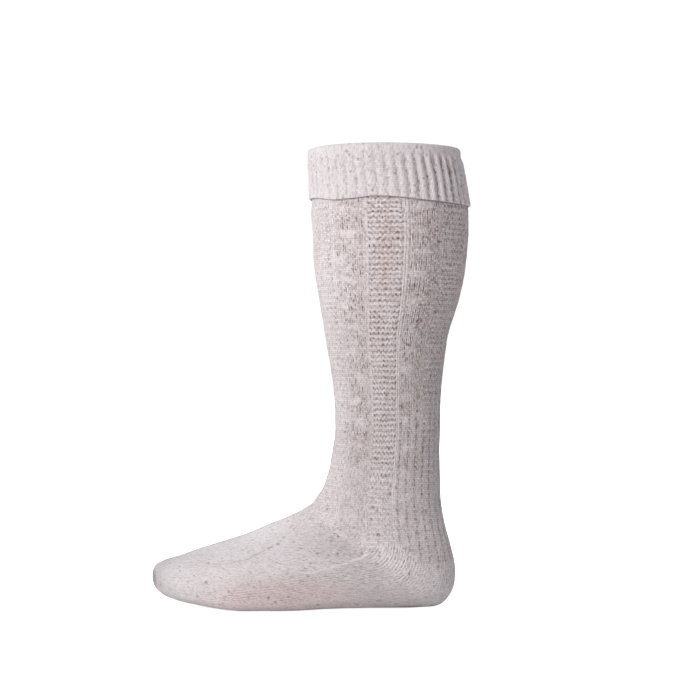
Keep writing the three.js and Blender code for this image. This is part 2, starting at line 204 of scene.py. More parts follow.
@dataclass
class SockSkin:
    """The sock's smooth outer surface, without its stitches, as a lattice of rings from the top to the toe.

    A place on it is a reach, the distance in millimetres along the sock's middle from the top edge,
    and a share of the way round, from the shin over the little-toe side.
    """

    sizes: SockSizes
    around: int = 720
    leg_step: float = 3.0
    ring_step: float = 1.0
    cap_rings: int = 24
    # the tip's place towards the big toe, as a share of the ball's width, and its height by the ankle's
    tip_aside: float = 0.15
    tip_height: float = 0.19
    # height as a share of the leg from the ankle up, swell from the ankle's size to the calf's, and lean
    # towards the calf as a share of the calf's depth
    leg_rows: tuple[tuple[float, float, float], ...] = (
        (1, 0.81, -0.018),
        (0.982, 0.82, -0.016),
        (0.905, 0.878, 0),
        (0.863, 0.9, 0.008),
        (0.84, 0.93, 0.012),
        (0.815, 0.98, 0.016),
        (0.8, 0.985, 0.016),
        (0.721, 0.945, 0.0225),
        (0.639, 0.887, 0.019),
        (0.558, 0.756, 0.016),
        (0.476, 0.568, 0.009),
        (0.394, 0.3425, -0.003),
        (0.3535, 0.267, -0.003),
        (0.272, 0.133, 0),
        (0.19, 0.04, 0.003),
        (0.068, 0.002, 0.003),
        (0, 0.035, -0.006),
    )
    # waist, roundness of the upper and the lower half, shift and ridge towards the big toe, seam
    foot_form: tuple[tuple[float, ...], ...] = (
        (0.5, 2.0, 2.0, 0.0, 0.0, 0.27),
        (0.5, 2.0, 2.0, 0.0, 0.0, 0.27),
        (0.5, 2.0, 2.05, 0.0, 0.01, 0.27),
        (0.51, 2.0, 2.1, 0.0, 0.02, 0.28),
        (0.53, 2.0, 2.15, 0.0, 0.02, 0.29),
        (0.56, 2.0, 2.2, 0.0, 0.03, 0.275),
        (0.58, 2.0, 2.25, 0.0, 0.04, 0.26),
        (0.6, 2.0, 2.3, -0.005, 0.05, 0.265),
        (0.64, 1.95, 2.6, -0.015, 0.07, 0.28),
        (0.66, 1.9, 3, -0.03, 0.09, 0.295),
        (0.68, 1.9, 3.5, -0.035, 0.11, 0.3),
        (0.69, 1.95, 4, -0.035, 0.12, 0.295),
        (0.69, 2.0, 4, -0.025, 0.12, 0.29),
        (0.68, 2.1, 4, -0.01, 0.11, 0.28),
        (0.64, 2.2, 3.6, 0.005, 0.09, 0.27),
        (0.6, 2.3, 3, 0.025, 0.06, 0.265),
        (0.56, 2.3, 2.6, 0.06, 0.03, 0.26),
        (0.53, 2.2, 2.4, 0.1, 0.01, 0.255),
        (0.51, 2.1, 2.2, 0.135, 0.0, 0.25),
    )
    # the place of the seam among a section's sizes
    seam_column: int = 10

    def __post_init__(self) -> None:
        """Lay out the sections, and draw a ring for every millimetre of reach."""
        sections = np.array(self.leg_sections() + self.foot_sections(), float)
        middles = self.middle(sections)
        steps = np.linalg.norm(np.diff(middles, axis=0), axis=1)
        self.knots = np.concatenate([[0.0], np.cumsum(steps)])
        self.first_foot = len(sections) - len(self.foot_form)
        self.sections = sections
        reaches = np.linspace(0, self.knots[-1], int(self.knots[-1] / self.ring_step) + 1)
        rings = self.rings(cubic(self.knots, sections, reaches))
        caps, cap_reach = self.toe_cap(rings[-1], sections[-1:])
        self.reaches = np.concatenate([reaches, self.knots[-1] + cap_reach])
        self.points = np.concatenate([rings, caps])
        self.normals = self.outward()
        path = np.linalg.norm(np.diff(self.points, axis=0), axis=2)
        self.travel = np.concatenate([np.zeros((1, self.around + 1)), np.cumsum(path, axis=0)])

    def leg_sections(self) -> list[list[float]]:
        """Give the leg's level sections, from the top edge down to the ankle.

        Returns:
            One row of section sizes for each level.
        """
        size = self.sizes
        table = np.array(self.leg_rows[::-1], float)
        count = int((size.leg_top - size.ankle_height) / self.leg_step)
        heights = np.linspace(size.leg_top, size.ankle_height, count + 1)
        shares = (heights - size.ankle_height) / (size.leg_top - size.ankle_height)
        rows = []
        for z, (swell, lean) in zip(heights, cubic(table[:, 0], table[:, 1:], shares)):
            half = (size.ankle_depth + (size.calf_depth - size.ankle_depth) * swell) / 2
            middle = lean * size.calf_depth
            width = size.ankle_width + (size.calf_width - size.ankle_width) * swell
            rows.append([middle - half, z, middle + half, z, width, *self.foot_form[0]])
        return rows

    def foot_sections(self) -> list[list[float]]:
        """Give the sections that turn round the heel and run on to the toe.

        Returns:
            One row of section sizes for each.
        """
        s, x = self.sizes, self.sizes.along
        # X and height of the section's upper end, of its lower end, and its width; heights by the ankle's
        places = [
            (-0.551 * s.ankle_depth, 0.883, 0.505 * s.ankle_depth, 0.844, s.ankle_width),
            (-0.585 * s.ankle_depth, 0.805, 0.514 * s.ankle_depth, 0.688, 1.03 * s.ankle_width),
            (-0.619 * s.ankle_depth, 0.75, 0.848 * s.heel_depth, 0.531, 1.06 * s.ankle_width),
            (x(0.454), 0.703, x(0.0155), 0.391, 1.07 * s.ankle_width),
            (x(0.466), 0.668, x(0.0008), 0.25, 1.06 * s.ankle_width),
            (x(0.479), 0.646, x(0.0077), 0.117, 1.06 * s.heel_width),
            (x(0.493), 0.628, x(0.048), 0.018, 1.05 * s.heel_width),
            (x(0.508), 0.61, x(0.12), 0.0, 1.07 * s.heel_width),
            (x(0.527), 0.592, x(0.205), 0.0, 0.78 * s.ball_width),
            (x(0.552), 0.57, x(0.302), 0.006, 0.815 * s.ball_width),
            (x(0.589), 0.54, x(0.41), 0.006, 0.865 * s.ball_width),
            (x(0.638), 0.5, x(0.518), 0, 0.93 * s.ball_width),
            (x(0.69), 0.456, x(0.615), 0, 0.985 * s.ball_width),
            (x(0.745), 0.421, x(0.708), 0, 1.0 * s.ball_width),
            (x(0.797), 0.39, x(0.785), 0.012, 1.1 * s.toe_width),
            (x(0.853), 0.353, x(0.855), 0.028, 1.0 * s.toe_width),
            (x(0.905), 0.319, x(0.912), 0.042, 0.82 * s.toe_width),
            (x(0.95), 0.293, x(0.955), 0.064, 0.59 * s.toe_width),
            (x(0.984), 0.262, x(0.986), 0.1, 0.33 * s.toe_width),
        ]
        rows = []
        for (top_x, top_z, base_x, base_z, width), form in zip(places, self.foot_form):
            waist, upper, lower, shift, ridge, seam = form
            ends = [top_x, top_z * s.ankle_height, base_x, base_z * s.ankle_height]
            rows.append([*ends, width, waist, upper, lower, shift * s.ball_width, ridge * s.ball_width, seam])
        return rows

    @staticmethod
    def middle(sections: np.ndarray) -> np.ndarray:
        """Give the widest place of each section, on the sock's middle plane."""
        top, base, waist = sections[:, 0:2], sections[:, 2:4], sections[:, 5:6]
        return top + (base - top) * waist

    def rings(self, sections: np.ndarray) -> np.ndarray:
        """Draw each section as a ring of points that lie evenly along its length.

        Args:
            sections: One row of section sizes for each ring.

        Returns:
            The points, by ring and by share, with the first share repeated at the end.
        """
        angle = np.linspace(0, 2 * math.pi, self.around + 1)
        cos, sin = np.cos(angle), np.sin(angle)
        middle = self.middle(sections)
        shares = np.linspace(0, 1, self.around + 1)
        result = np.empty((len(sections), self.around + 1, 3))
        for i, (tx, tz, bx, bz, width, _, upper, lower, shift, ridge, _) in enumerate(sections):
            front = cos >= 0
            power = np.where(front, 2 / upper, 2 / lower)
            reach, side = np.abs(cos) ** power, np.sign(sin) * np.abs(sin) ** power
            end_x, end_z = np.where(front, tx, bx), np.where(front, tz, bz)
            x = middle[i, 0] + (end_x - middle[i, 0]) * reach
            z = middle[i, 1] + (end_z - middle[i, 1]) * reach
            y = shift - side * width / 2 + np.where(front, ridge * reach, 0)
            ring = np.stack([x, y, z], axis=1)
            length = np.concatenate([[0.0], np.cumsum(np.linalg.norm(np.diff(ring, axis=0), axis=1))])
            for k in range(3):
                result[i, :, k] = np.interp(shares * length[-1], length, ring[:, k])
        # the frame's zero is the inside of the sole, one wall above the floor
        result[..., 2] -= self.sizes.wall
        return result

    def toe_cap(self, ring: np.ndarray, section: np.ndarray) -> tuple[np.ndarray, np.ndarray]:
        """Close the toe with rings that shrink to its tip.

        Args:
            ring: The last ring of the toe.
            section: The sizes of that ring.

        Returns:
            The cap's rings and how far each lies beyond the last ring.
        """
        size = self.sizes
        waist = self.middle(section)[0]
        start = np.array([waist[0], section[0, 8], waist[1] - size.wall])
        tip_z = self.tip_height * size.ankle_height - size.wall
        tip = np.array([size.along(1), self.tip_aside * size.ball_width, tip_z])
        closed = np.sin(np.linspace(0, math.pi / 2, self.cap_rings + 1)[1:])
        spread = np.sqrt(np.clip(1 - closed, 0, 1))
        path = start + (tip - start) * closed[:, None]
        rings = path[:, None, :] + (ring - start)[None, :, :] * spread[:, None, None]
        return rings, closed * np.linalg.norm(tip - start)

    def outward(self) -> np.ndarray:
        """Give the surface's outward direction at every point of the lattice.

        Returns:
            The directions, each one long.
        """
        around = np.empty_like(self.points)
        around[:, 1:-1] = self.points[:, 2:] - self.points[:, :-2]
        around[:, 0] = around[:, -1] = self.points[:, 1] - self.points[:, -2]
        along = np.gradient(self.points, axis=0)
        normals = unit(np.cross(along, around))
        normals[-1] = unit(normals[-3].mean(axis=0))
        return normals

    def row(self, index: float) -> float:
        """Give the reach of a row of the foot's sections."""
        return float(np.interp(self.first_foot + index, np.arange(len(self.knots)), self.knots))

    def level(self, height: np.ndarray) -> np.ndarray:
        """Give the reach of each level of the leg, from its height above the floor."""
        return np.interp(-height, -self.sections[: self.first_foot, 1], self.knots[: self.first_foot])

    def seam(self, reach: np.ndarray) -> np.ndarray:
        """Give the share at which the upper of the foot meets the sole.

        Args:
            reach: The reach of each place.

        Returns:
            The share of the seam there, on the little-toe side.
        """
        seams = self.sections[:, self.seam_column]
        at = np.minimum(reach, self.knots[-1]).ravel()
        return cubic(self.knots, seams[:, None], at).reshape(reach.shape)

    def read(self, lattice: np.ndarray, reach: np.ndarray, share: np.ndarray) -> np.ndarray:
        """Read one of the lattices between its points.

        Args:
            lattice: Points, normals or path lengths, by ring and share.
            reach: The reach of each place.
            share: The share of each place.

        Returns:
            The lattice's value at each place.
        """
        ring = np.interp(reach, self.reaches, np.arange(len(self.reaches)))
        i = np.clip(ring.astype(int), 0, len(self.reaches) - 2)
        column = (share % 1.0) * self.around
        j = np.clip(column.astype(int), 0, self.around - 1)
        s, t = ring - i, column - j
        if lattice.ndim == 3:
            s, t = s[..., None], t[..., None]
        near = lattice[i, j] * (1 - t) + lattice[i, j + 1] * t
        far = lattice[i + 1, j] * (1 - t) + lattice[i + 1, j + 1] * t
        return near * (1 - s) + far * s


# what a strip of the pattern gives for each place: its height, how much painted shade its hollows get, how
# felted it is
Layer = tuple[np.ndarray, np.ndarray, np.ndarray]


@dataclass
class Relief:
    """How the knitting looks at a set of places.

    It holds the height off the skin in millimetres, then from 0 to 1 how much painted shade darkens the
    hollows, how much is purl and how much is felted, and at last the wale and the course for the map of the
    stitches.
    """

    height: np.ndarray
    painted_shade: np.ndarray
    purl: np.ndarray
    felt: np.ndarray
    wale: np.ndarray
    course: np.ndarray


@dataclass
class GarterStrip:
    """Scalloped ridges that hang in garlands, with a sunken hole under each crest that is painted dark with
    shade.
    """

    loops: Unevenness
    waves: Unevenness
    wales: float = 13.2
    columns: int = 12
    ridge_courses: float = 2.6
    rise: float = 0.31
    scallop: float = 0.125
    sway: float = 0.45
    ripple: float = 0.06
    hole_lag: float = 0.44
    hole_depth: float = 0.5
    # painted shade in the holes under the crests and in the troughs between the ridges
    hole_shade: float = 0.95
    trough_shade: float = 0.34
    garland: float = 0.55
    # where the holes gather: the middle column and the half width of each bunch, and the share left elsewhere
    bunches: tuple[tuple[float, float], ...] = ((5.8, 2.6), (0.4, 1.2), (11.4, 1.4))
    scattered: float = 0.35

    def draw(self, course: np.ndarray, wale: np.ndarray, turn: np.ndarray) -> Layer:
        """Draw the strip.

        Args:
            course: The course of each place.
            wale: Its wale, from the strip's first edge.
            turn: The number of the repeat.

        Returns:
            How far each place stands off, how much painted shade its holes and troughs get, and how much of
            it is garland.
        """
        column = wale * self.columns / self.wales
        crest = np.cos(math.pi * column)
        pull = self.sway * self.waves.drift(turn * 7, course / 8)
        pull = pull + self.ripple * self.waves.drift(column / 3 + turn * 7, course / 5)
        line = course / self.ridge_courses + self.scallop * crest + pull
        wave = np.cos(2 * math.pi * line)
        below = np.cos(2 * math.pi * (line - self.hole_lag))
        own = self.loops.stitch(np.rint(column) + 16 * turn + 64, np.floor(line))
        uneven = 0.85 + 0.3 * self.waves.drift(column / 2 + turn * 9, line)
        bunched = sum(np.exp(-(((column - middle) / half) ** 2)) for middle, half in self.bunches)
        bunched = self.scattered + (1 - self.scattered) * np.clip(bunched, 0, 1)
        post = smooth(crest, 0.0, 0.85) + 0.3 * smooth(-crest, 0.3, 0.95)
        hole = smooth(below, 0.1, 0.95) * post * bunched * (0.25 + own)
        height = self.rise * uneven * wave - self.hole_depth * hole
        painted_shade = self.trough_shade * smooth(-wave, -0.1, 0.95) + self.hole_shade * hole
        return height, np.clip(painted_shade, 0, 1), self.garland * smooth(wave, 0.3, 0.95) * uneven


@dataclass
class RaisedRibs:
    """Two raised wales after the garter strip, and one before it, with soft grooves beside them."""

    repeat: int
    pair: float
    apart: float = 0.52
    single: float = 0.55
    single_share: float = 0.5
    rise: float = 0.26
    half_width: float = 0.28
    groove_away: float = 0.8
    groove_width: float = 0.3
    groove_depth: float = 0.14
    # painted shade in the grooves beside the ribs and in the slit between the pair
    groove_shade: float = 0.3
    slit_width: float = 0.2
    slit_depth: float = 0.1
    slit_shade: float = 0.5
    thread: float = 0.75

    def draw(self, course: np.ndarray, wale: np.ndarray) -> Layer:
        """Draw the ribs over the whole repeat.

        Args:
            course: The course of each place.
            wale: Its wale, from the start of the repeat.

        Returns:
            How far each place stands off, how much painted shade its grooves get, and how much of it is a
            rib's thread.
        """
        height, painted_shade, thread = np.zeros_like(wale), np.zeros_like(wale), np.zeros_like(wale)
        beads = 0.8 + 0.2 * np.cos(math.pi * course)
        ribs = ((self.pair, self.apart, 1.0), (self.repeat - self.single, 0.0, self.single_share))
        for middle, away, share in ribs:
            x = np.abs((wale - middle + self.repeat / 2) % self.repeat - self.repeat / 2)
            crest = np.exp(-(((x - away) / self.half_width) ** 2))
            groove = np.exp(-(((x - away - self.groove_away) / self.groove_width) ** 2))
            slit = np.exp(-((x / self.slit_width) ** 2)) * (away > 0)
            hollow = self.groove_depth * groove + self.slit_depth * slit
            height += share * (self.rise * crest * beads - hollow)
            painted_shade += share * (self.groove_shade * groove + self.slit_shade * slit)
            thread += self.thread * share * crest
        return height, painted_shade, thread


@dataclass
class OpenworkStrip:
    """Smooth leaves that lie between slanted patches of narrow stripes, with gaps painted dark with shade."""

    loops: Unevenness
    waves: Unevenness
    wales: float = 12.8
    wave_courses: float = 11.5
    turn_shift: float = 0.37
    wander: float = 0.16
    middle: float = 5.6
    sway: float = 1.5
    slant: float = 0.05
    patch_at: float = 0.68
    patch_half: float = 3.6
    patch_half_more: float = 1.3
    patch_tall: float = 0.25
    patch_tall_more: float = 0.07
    patch_sink: float = 0.12
    leaf_at: float = 0.18
    leaf_tall: float = 0.24
    leaf_aside: float = 0.9
    leaf_wider: float = 1.8
    leaf_slant: float = 0.02
    leaf_rise: float = 0.22
    leaf_felt: float = 0.4
    stripe_rise: float = 0.42
    net_depth: float = 0.7
    # painted shade in the stripes' gaps and in the open net of the ground, with more of it in the first
    # repeat
    gap_hole_shade: float = 2.5
    net_shade: float = 0.9
    first_repeat_net_shade: float = 0.2

    def draw(self, course: np.ndarray, wale: np.ndarray, turn: np.ndarray) -> Layer:
        """Draw the strip.

        Args:
            course: The course of each place.
            wale: Its wale, from the strip's first edge.
            turn: The number of the repeat.

        Returns:
            How far each place stands off, how much painted shade its gaps and net get, and how much of it is
            leaf.
        """
        wander = self.wander * self.waves.drift(turn * 3, course / 13)
        phase = course / self.wave_courses + self.turn_shift * turn + wander
        number = np.floor(phase)
        patch, leaf = self.forms(phase, number, wale, turn)
        stripe = np.cos(2 * math.pi * wale)
        column = np.rint(wale + 0.5)
        strength = 0.15 + self.loops.stitch(column + turn * 16, number * 3 + np.floor((phase - number) * 5))
        strength = np.where((turn + column) % 2 == 1, 0.5 * strength, 1.25 * strength)
        dots = 0.6 + 0.4 * np.cos(math.pi * (course + column))
        gap = patch * strength * smooth(-stripe, 0.1, 0.8) * dots
        own = self.loops.stitch(np.floor(wale) + 16 * turn + 100, np.floor(course))
        pairs = np.floor(course / 2)
        pair = self.loops.stitch(np.floor(wale / 2 + 0.5 * pairs) + 16 * turn + 140, pairs)
        ground = (1 - patch) * (1 - leaf)
        loose = 0.8 + 0.5 * self.waves.drift(wale / 4 + turn * 13, course / 5)
        net = 0.1 * stripe - 0.18 * own - 0.2 * pair
        dot = 0.5 * smooth(-stripe, -0.2, 0.9) * (0.4 + own)
        dot = dot + 0.45 * smooth(pair, 0.55, 1.0) + 0.25 * smooth(own, 0.5, 1.0)
        open_net = (self.net_shade + self.first_repeat_net_shade * (turn < 1)) * loose * ground * dot
        painted_shade = (self.gap_hole_shade * gap + open_net) * smooth(wale, 0.6, 1.5)
        height = self.leaf_rise * leaf + self.stripe_rise * strength * stripe * patch
        height = height + self.net_depth * net * ground - self.patch_sink * patch
        return height, np.clip(painted_shade, 0, 1), self.leaf_felt * leaf

    def forms(
        self, phase: np.ndarray, number: np.ndarray, wale: np.ndarray, turn: np.ndarray
    ) -> tuple[np.ndarray, np.ndarray]:
        """Lay out one striped patch and one leaf for each wave.

        Args:
            phase: How many waves lie above each place.
            number: The number of the place's own wave.
            wale: The wale, from the strip's first edge.
            turn: The number of the repeat.

        Returns:
            How much of each place is patch, and how much is leaf.
        """
        down = phase - number
        off = wale - self.middle - self.sway * np.sin(math.pi * phase + 2.1 * turn)
        slant = self.slant * off * np.where(number % 2 == 0, 1.0, -1.0)
        half = self.patch_half + self.patch_half_more * self.loops.stitch(number + 40, turn + 5)
        tall = self.patch_tall + self.patch_tall_more * self.loops.stitch(number + 60, turn + 9)
        patch = 1 - np.abs(off / half) ** 3 - np.abs((down + slant - self.patch_at) / tall) ** 3
        from_leaf = down + self.leaf_slant / self.slant * slant - self.leaf_at
        wide = half + self.leaf_wider
        leaf = 1 - ((off + self.leaf_aside) / wide) ** 2 - (from_leaf / self.leaf_tall) ** 2
        leaf = smooth(leaf, 0.0, 1.1) * (0.6 + 0.5 * self.loops.stitch(number + 80, turn + 3))
        return smooth(patch, 0.0, 0.6), leaf


@dataclass
class Stitchwork:
    """The knitted pattern, in wales round the leg and courses down it. Heights are in millimetres."""

    skin: SockSkin
    wales: int = 180
    plain_wales: int = 132
    # the height of one course, and the share round the leg at which the courses are counted
    course: float = 1.7
    side_share: float = 0.22
    # the repeat in wales, where it starts, its pair of ribs, and the groove after them
    repeat: int = 30
    first_wale: float = 36.2
    rib_wales: float = 2.0
    groove_off: float = 0.45
    strip_blend: float = 0.2
    plain_rise: float = 0.38
    plain_sink: float = 0.05
    # painted shade in the grooves between plain wales
    plain_groove_shade: float = 0.6
    plain_felt: float = 0.62
    stitch_rise: float = 0.14
    # how softly the pattern turns plain, along the gusset and towards the toe
    gusset_blend: float = 0.6
    toe_blend: float = 4.0
    # how much of the relief is left on the shin, on the stretched foot and in the pattern over the instep
    shin_share: float = 0.2
    foot_share: float = 0.5
    instep_share: float = 0.5
    # how much of the pattern closes up at the ankle, and the height below which it starts to
    ankle_closed: float = 0.6
    ankle_fade: float = 124.0
    foot_felt: float = 0.92
    slack_rise: float = 0.45
    # painted shade over the back of the leg, the side that turns away from the key light
    back_of_leg_shade: float = 0.27
    # the knitting is left smooth above this height, where the cuff hides it
    covered_height: float = 331.0
    seam_rise: float = 0.4
    seam_width: float = 1.0
    gusset_from: float = -66.0
    gusset_to: float = -14.0
    gusset_fade: float = 6.0
    crease_depth: float = 0.2
    # painted shade in the crease
    crease_shade: float = 0.32
    crease_width: float = 0.55
    crease_slope: float = 0.93
    crease_fade: tuple[float, float] = (22.0, 16.0)
    # dotted grooves at the back of the ankle, below this height, sunk and painted with shade
    furrow_top: float = 190.0
    furrow_wales: int = 5
    furrow_depth: float = 0.25
    furrow_shade: float = 0.6
    # the line in the side view below which heel, gusset and sole are plain, as X and height
    plain_line: tuple[tuple[float, float], ...] = (
        (-200, 15),
        (-146, 17),
        (-125, 19.6),
        (-70, 30),
        (-61, 29.5),
        (-40, 35),
        (-21, 41),
        (-13, 47),
        (-4, 52),
        (5, 54),
        (13, 51),
        (20, 44),
        (27, 38),
        (36, 35),
        (60, 36),
    )
    # a crease over the instep on the little-toe side, as X and height
    crease_line: tuple[tuple[float, float], ...] = (
        (-158, 38),
        (-136, 35.6),
        (-114, 39.6),
        (-94, 49.2),
        (-86, 54),
        (-72, 63),
    )
    loops: Unevenness = field(default_factory=lambda: Unevenness(11))
    waves: Unevenness = field(default_factory=lambda: Unevenness(23))

    def __post_init__(self) -> None:
        """Set up the strips, and count the courses down the side of the leg, from its top edge."""
        self.garter = GarterStrip(self.loops, self.waves)
        self.ribs = RaisedRibs(self.repeat, self.garter.wales + self.rib_wales / 2)
        self.openwork = OpenworkStrip(self.loops, self.waves)
        side = int(self.side_share * self.skin.around)
        self.course_count = self.skin.travel[:, side] / self.course

    def courses(self, reach: np.ndarray, share: np.ndarray) -> np.ndarray:
        """Give the course at each place: level on the leg, and counted along each wale on the foot.

        Args:
            reach: The reach of each place.
            share: The share of each place.

        Returns:
            The courses from the top edge down to each place.
        """
        level = np.interp(reach, self.skin.reaches, self.course_count)
        own = self.skin.read(self.skin.travel, reach, share) / self.course
        return level + (own - level) * smooth(reach, self.skin.row(0) - 20, self.skin.row(4))

    def patterned(self, place: np.ndarray) -> np.ndarray:
        """Say how far each place lies above the line under which the sock is plain, from 0 to 1.

        Args:
            place: The skin's point at each place.

        Returns:
            1 where the knitting is patterned and 0 where it is plain.
        """
        line = np.array(self.plain_line)
        edge = np.interp(place[..., 0], line[:, 0], line[:, 1])
        blend = self.gusset_blend + self.toe_blend * smooth(-place[..., 0], 60, 80)
        return smooth((place[..., 2] - edge) / blend, -1, 1)

    def relief(self, reach: np.ndarray, share: np.ndarray, place: np.ndarray) -> Relief:
        """Work out the knitting's relief on the leg and the foot.

        Args:
            reach: The reach of each place.
            share: The share of each place.
            place: The skin's point at each place.

        Returns:
            The relief at each place.
        """
        row, z = self.skin.row, place[..., 2]
        wale, course = share * self.wales, self.courses(reach, share)
        pattern = self.patterned(place)
        fancy, plain = self.pattern(course, wale), self.plain(course, share * self.plain_wales)
        mix = {
            name: getattr(fancy, name) * pattern + getattr(plain, name) * (1 - pattern)
            for name in ("height", "painted_shade", "purl", "felt")
        }
        # the places: round from the shin, under the cuff, on the foot, at the side and at the back
        from_shin = np.minimum(share % 1.0, 1 - share % 1.0)
        shown = smooth(self.covered_height - z, 0.0, 2.5)
        on_foot = smooth(reach, row(0) - 14, row(3))
        side = smooth(from_shin, 0.07, 0.15) * (1 - 0.55 * smooth(from_shin, 0.3, 0.36))
        back, furrow = self.furrows(wale, course, place, from_shin)
        furrow = furrow * pattern
        closed = self.ankle_closed * smooth(self.ankle_fade - z, 0, 30)
        # stretched over the foot and the shin, and closed up at the ankle, the knitting stands out less
        strength = shown * (1 - (1 - self.foot_share) * smooth(reach, row(2), row(10)))
        strength = strength * (1 - (1 - self.instep_share) * pattern * on_foot)
        strength = strength * (self.shin_share + (1 - self.shin_share) * side)
        strength = strength * (1 - pattern * (closed + (0.5 - 0.5 * closed) * back))
        # two soft waves run through the slack cloth, one long and one short
        slack = 0.35 * self.waves.drift(share * 14, reach / 19, 14)
        slack = slack + 0.2 * self.waves.drift(share * 37, reach / 8 + 50, 37)
        seam, crease = self.gusset_seam(place), self.crease(place)
        lines = self.seam_rise * seam - self.crease_depth * crease - self.furrow_depth * furrow
        worn = self.foot_felt * smooth(reach, row(3), row(11))
        # painted shade over the back of the leg, which turns away from the key light, joined below by the
        # painted shade in the crease and the furrows
        calf = smooth(from_shin, 0.27, 0.37) * shown * (1 - on_foot) * (1 - 0.4 * back)
        dark = self.crease_shade * crease + self.back_of_leg_shade * calf + self.furrow_shade * furrow
        return Relief(
            height=mix["height"] * strength + self.slack_rise * slack * shown + lines,
            painted_shade=np.clip(mix["painted_shade"] * strength * (1 - 0.8 * seam) + dark, 0, 1),
            purl=mix["purl"],
            felt=np.clip(np.maximum(mix["felt"] * (0.35 + 0.65 * side), worn) + seam, 0, 1),
            wale=wale,
            course=course,
        )

    def furrows(
        self, wale: np.ndarray, course: np.ndarray, place: np.ndarray, from_shin: np.ndarray
    ) -> tuple[np.ndarray, np.ndarray]:
        """Dotted grooves down the back of the ankle, where the slack pattern closes up.

        Args:
            wale: The wale of each place.
            course: The course of each place.
            place: The skin's point at each place.
            from_shin: The share of the way round from the shin, by the shorter way.

        Returns:
            How far each place belongs to the back of the ankle, and how deep it lies in a groove.
        """
        back = smooth(from_shin, 0.25, 0.31) * smooth(self.furrow_top - place[..., 2], 0, 50)
        groove = smooth(-np.cos(2 * math.pi * wale / self.furrow_wales), 0.5, 1.0)
        return back, back * groove * (0.6 + 0.4 * np.cos(math.pi * course))

    def gusset_seam(self, place: np.ndarray) -> np.ndarray:
        """Say where the raised line between the instep and the gusset runs, from 0 to 1.

        Args:
            place: The skin's point at each place.

        Returns:
            1 on the line and 0 off it.
        """
        line = np.array(self.plain_line)
        off = place[..., 2] - np.interp(place[..., 0], line[:, 0], line[:, 1])
        x = place[..., 0]
        ends = smooth(x, self.gusset_from, self.gusset_from + self.gusset_fade)
        ends = ends * smooth(-x, -self.gusset_to, self.gusset_fade - self.gusset_to)
        return np.exp(-((off / self.seam_width) ** 2)) * ends

    def crease(self, place: np.ndarray) -> np.ndarray:
        """Say where the crease over the instep runs, from 0 to 1.

        Args:
            place: The skin's point at each place.

        Returns:
            1 in the crease and 0 off it.
        """
        line = np.array(self.crease_line, float)
        x, z = place[..., 0], place[..., 2]
        off = (z - np.interp(x, line[:, 0], line[:, 1])) * self.crease_slope
        first, last = line[0, 0], line[-1, 0]
        toe_fade, ankle_fade = self.crease_fade
        ends = smooth(x, first, first + toe_fade) * smooth(-x, -last, ankle_fade - last)
        ends = ends * (0.7 + 0.45 * self.waves.drift(x / 6, np.zeros_like(x)))
        return np.exp(-((off / self.crease_width) ** 2)) * ends * (place[..., 1] < 0)

    def plain(self, course: np.ndarray, wale: np.ndarray) -> Relief:
        """Stocking stitch: smooth knit wales with a groove between them.

        Args:
            course: The course of each place.
            wale: The wale of each place.

        Returns:
            The relief at each place.
        """
        groove = np.cos(2 * math.pi * wale)
        uneven = self.loops.stitch(np.floor(wale) % self.plain_wales, np.floor(course))
        height = self.plain_rise * (0.5 * groove + 0.25 * (uneven - 0.5)) - self.plain_sink
        painted_shade = self.plain_groove_shade * smooth(-groove, 0.1, 1.0)
        felt = np.full_like(wale, self.plain_felt)
        return Relief(height, painted_shade, np.zeros_like(wale), felt, wale, course)

    def pattern(self, course: np.ndarray, wale: np.ndarray) -> Relief:
        """The leg's repeat: a garter strip, a rib, an openwork strip and a rib.

        Args:
            course: The course of each place.
            wale: The wale of each place.

        Returns:
            The relief at each place.
        """
        w = (wale - self.first_wale) % self.repeat
        turn = np.floor((wale - self.first_wale) / self.repeat) % (self.wales // self.repeat)
        rib_start = self.garter.wales
        panel_start = rib_start + self.rib_wales
        panel_end = panel_start + self.openwork.wales
        soft = self.strip_blend
        in_garter = smooth(w, -soft, soft) * smooth(rib_start - w, -soft, soft)
        in_panel = smooth(w - panel_start, -soft, soft) * smooth(panel_end - w, -soft, soft)
        garter = self.garter.draw(course, w, turn)
        panel = self.openwork.draw(course, w - panel_start, turn)
        ribs = self.ribs.draw(course, w)
        height, painted_shade, felt = (a * in_garter + b * in_panel + c for a, b, c in zip(garter, panel, ribs))
        uneven = self.loops.stitch(np.floor(wale) % self.wales, np.floor(course) + 9) - 0.5
        return Relief(
            height=height + self.stitch_rise * uneven,
            painted_shade=np.clip(painted_shade, 0, 1),
            purl=0.1 * in_garter,
            felt=np.clip(felt, 0, 1),
            wale=wale,
            course=course,
        )


MATHS = "ShaderNodeMath"
VECTORS = "ShaderNodeVectorMath"
RAMP = "ShaderNodeMapRange"
MIX = "ShaderNodeMix"
NOISE = "ShaderNodeTexNoise"
POINTS = "ShaderNodeAttribute"
S_CURVE = {"interpolation_type": "SMOOTHSTEP"}
# the colours of a Mix node are its inputs 6 and 7 and its output 2, and its numbers are inputs 2 and 3
COLOURS = {"data_type": "RGBA"}


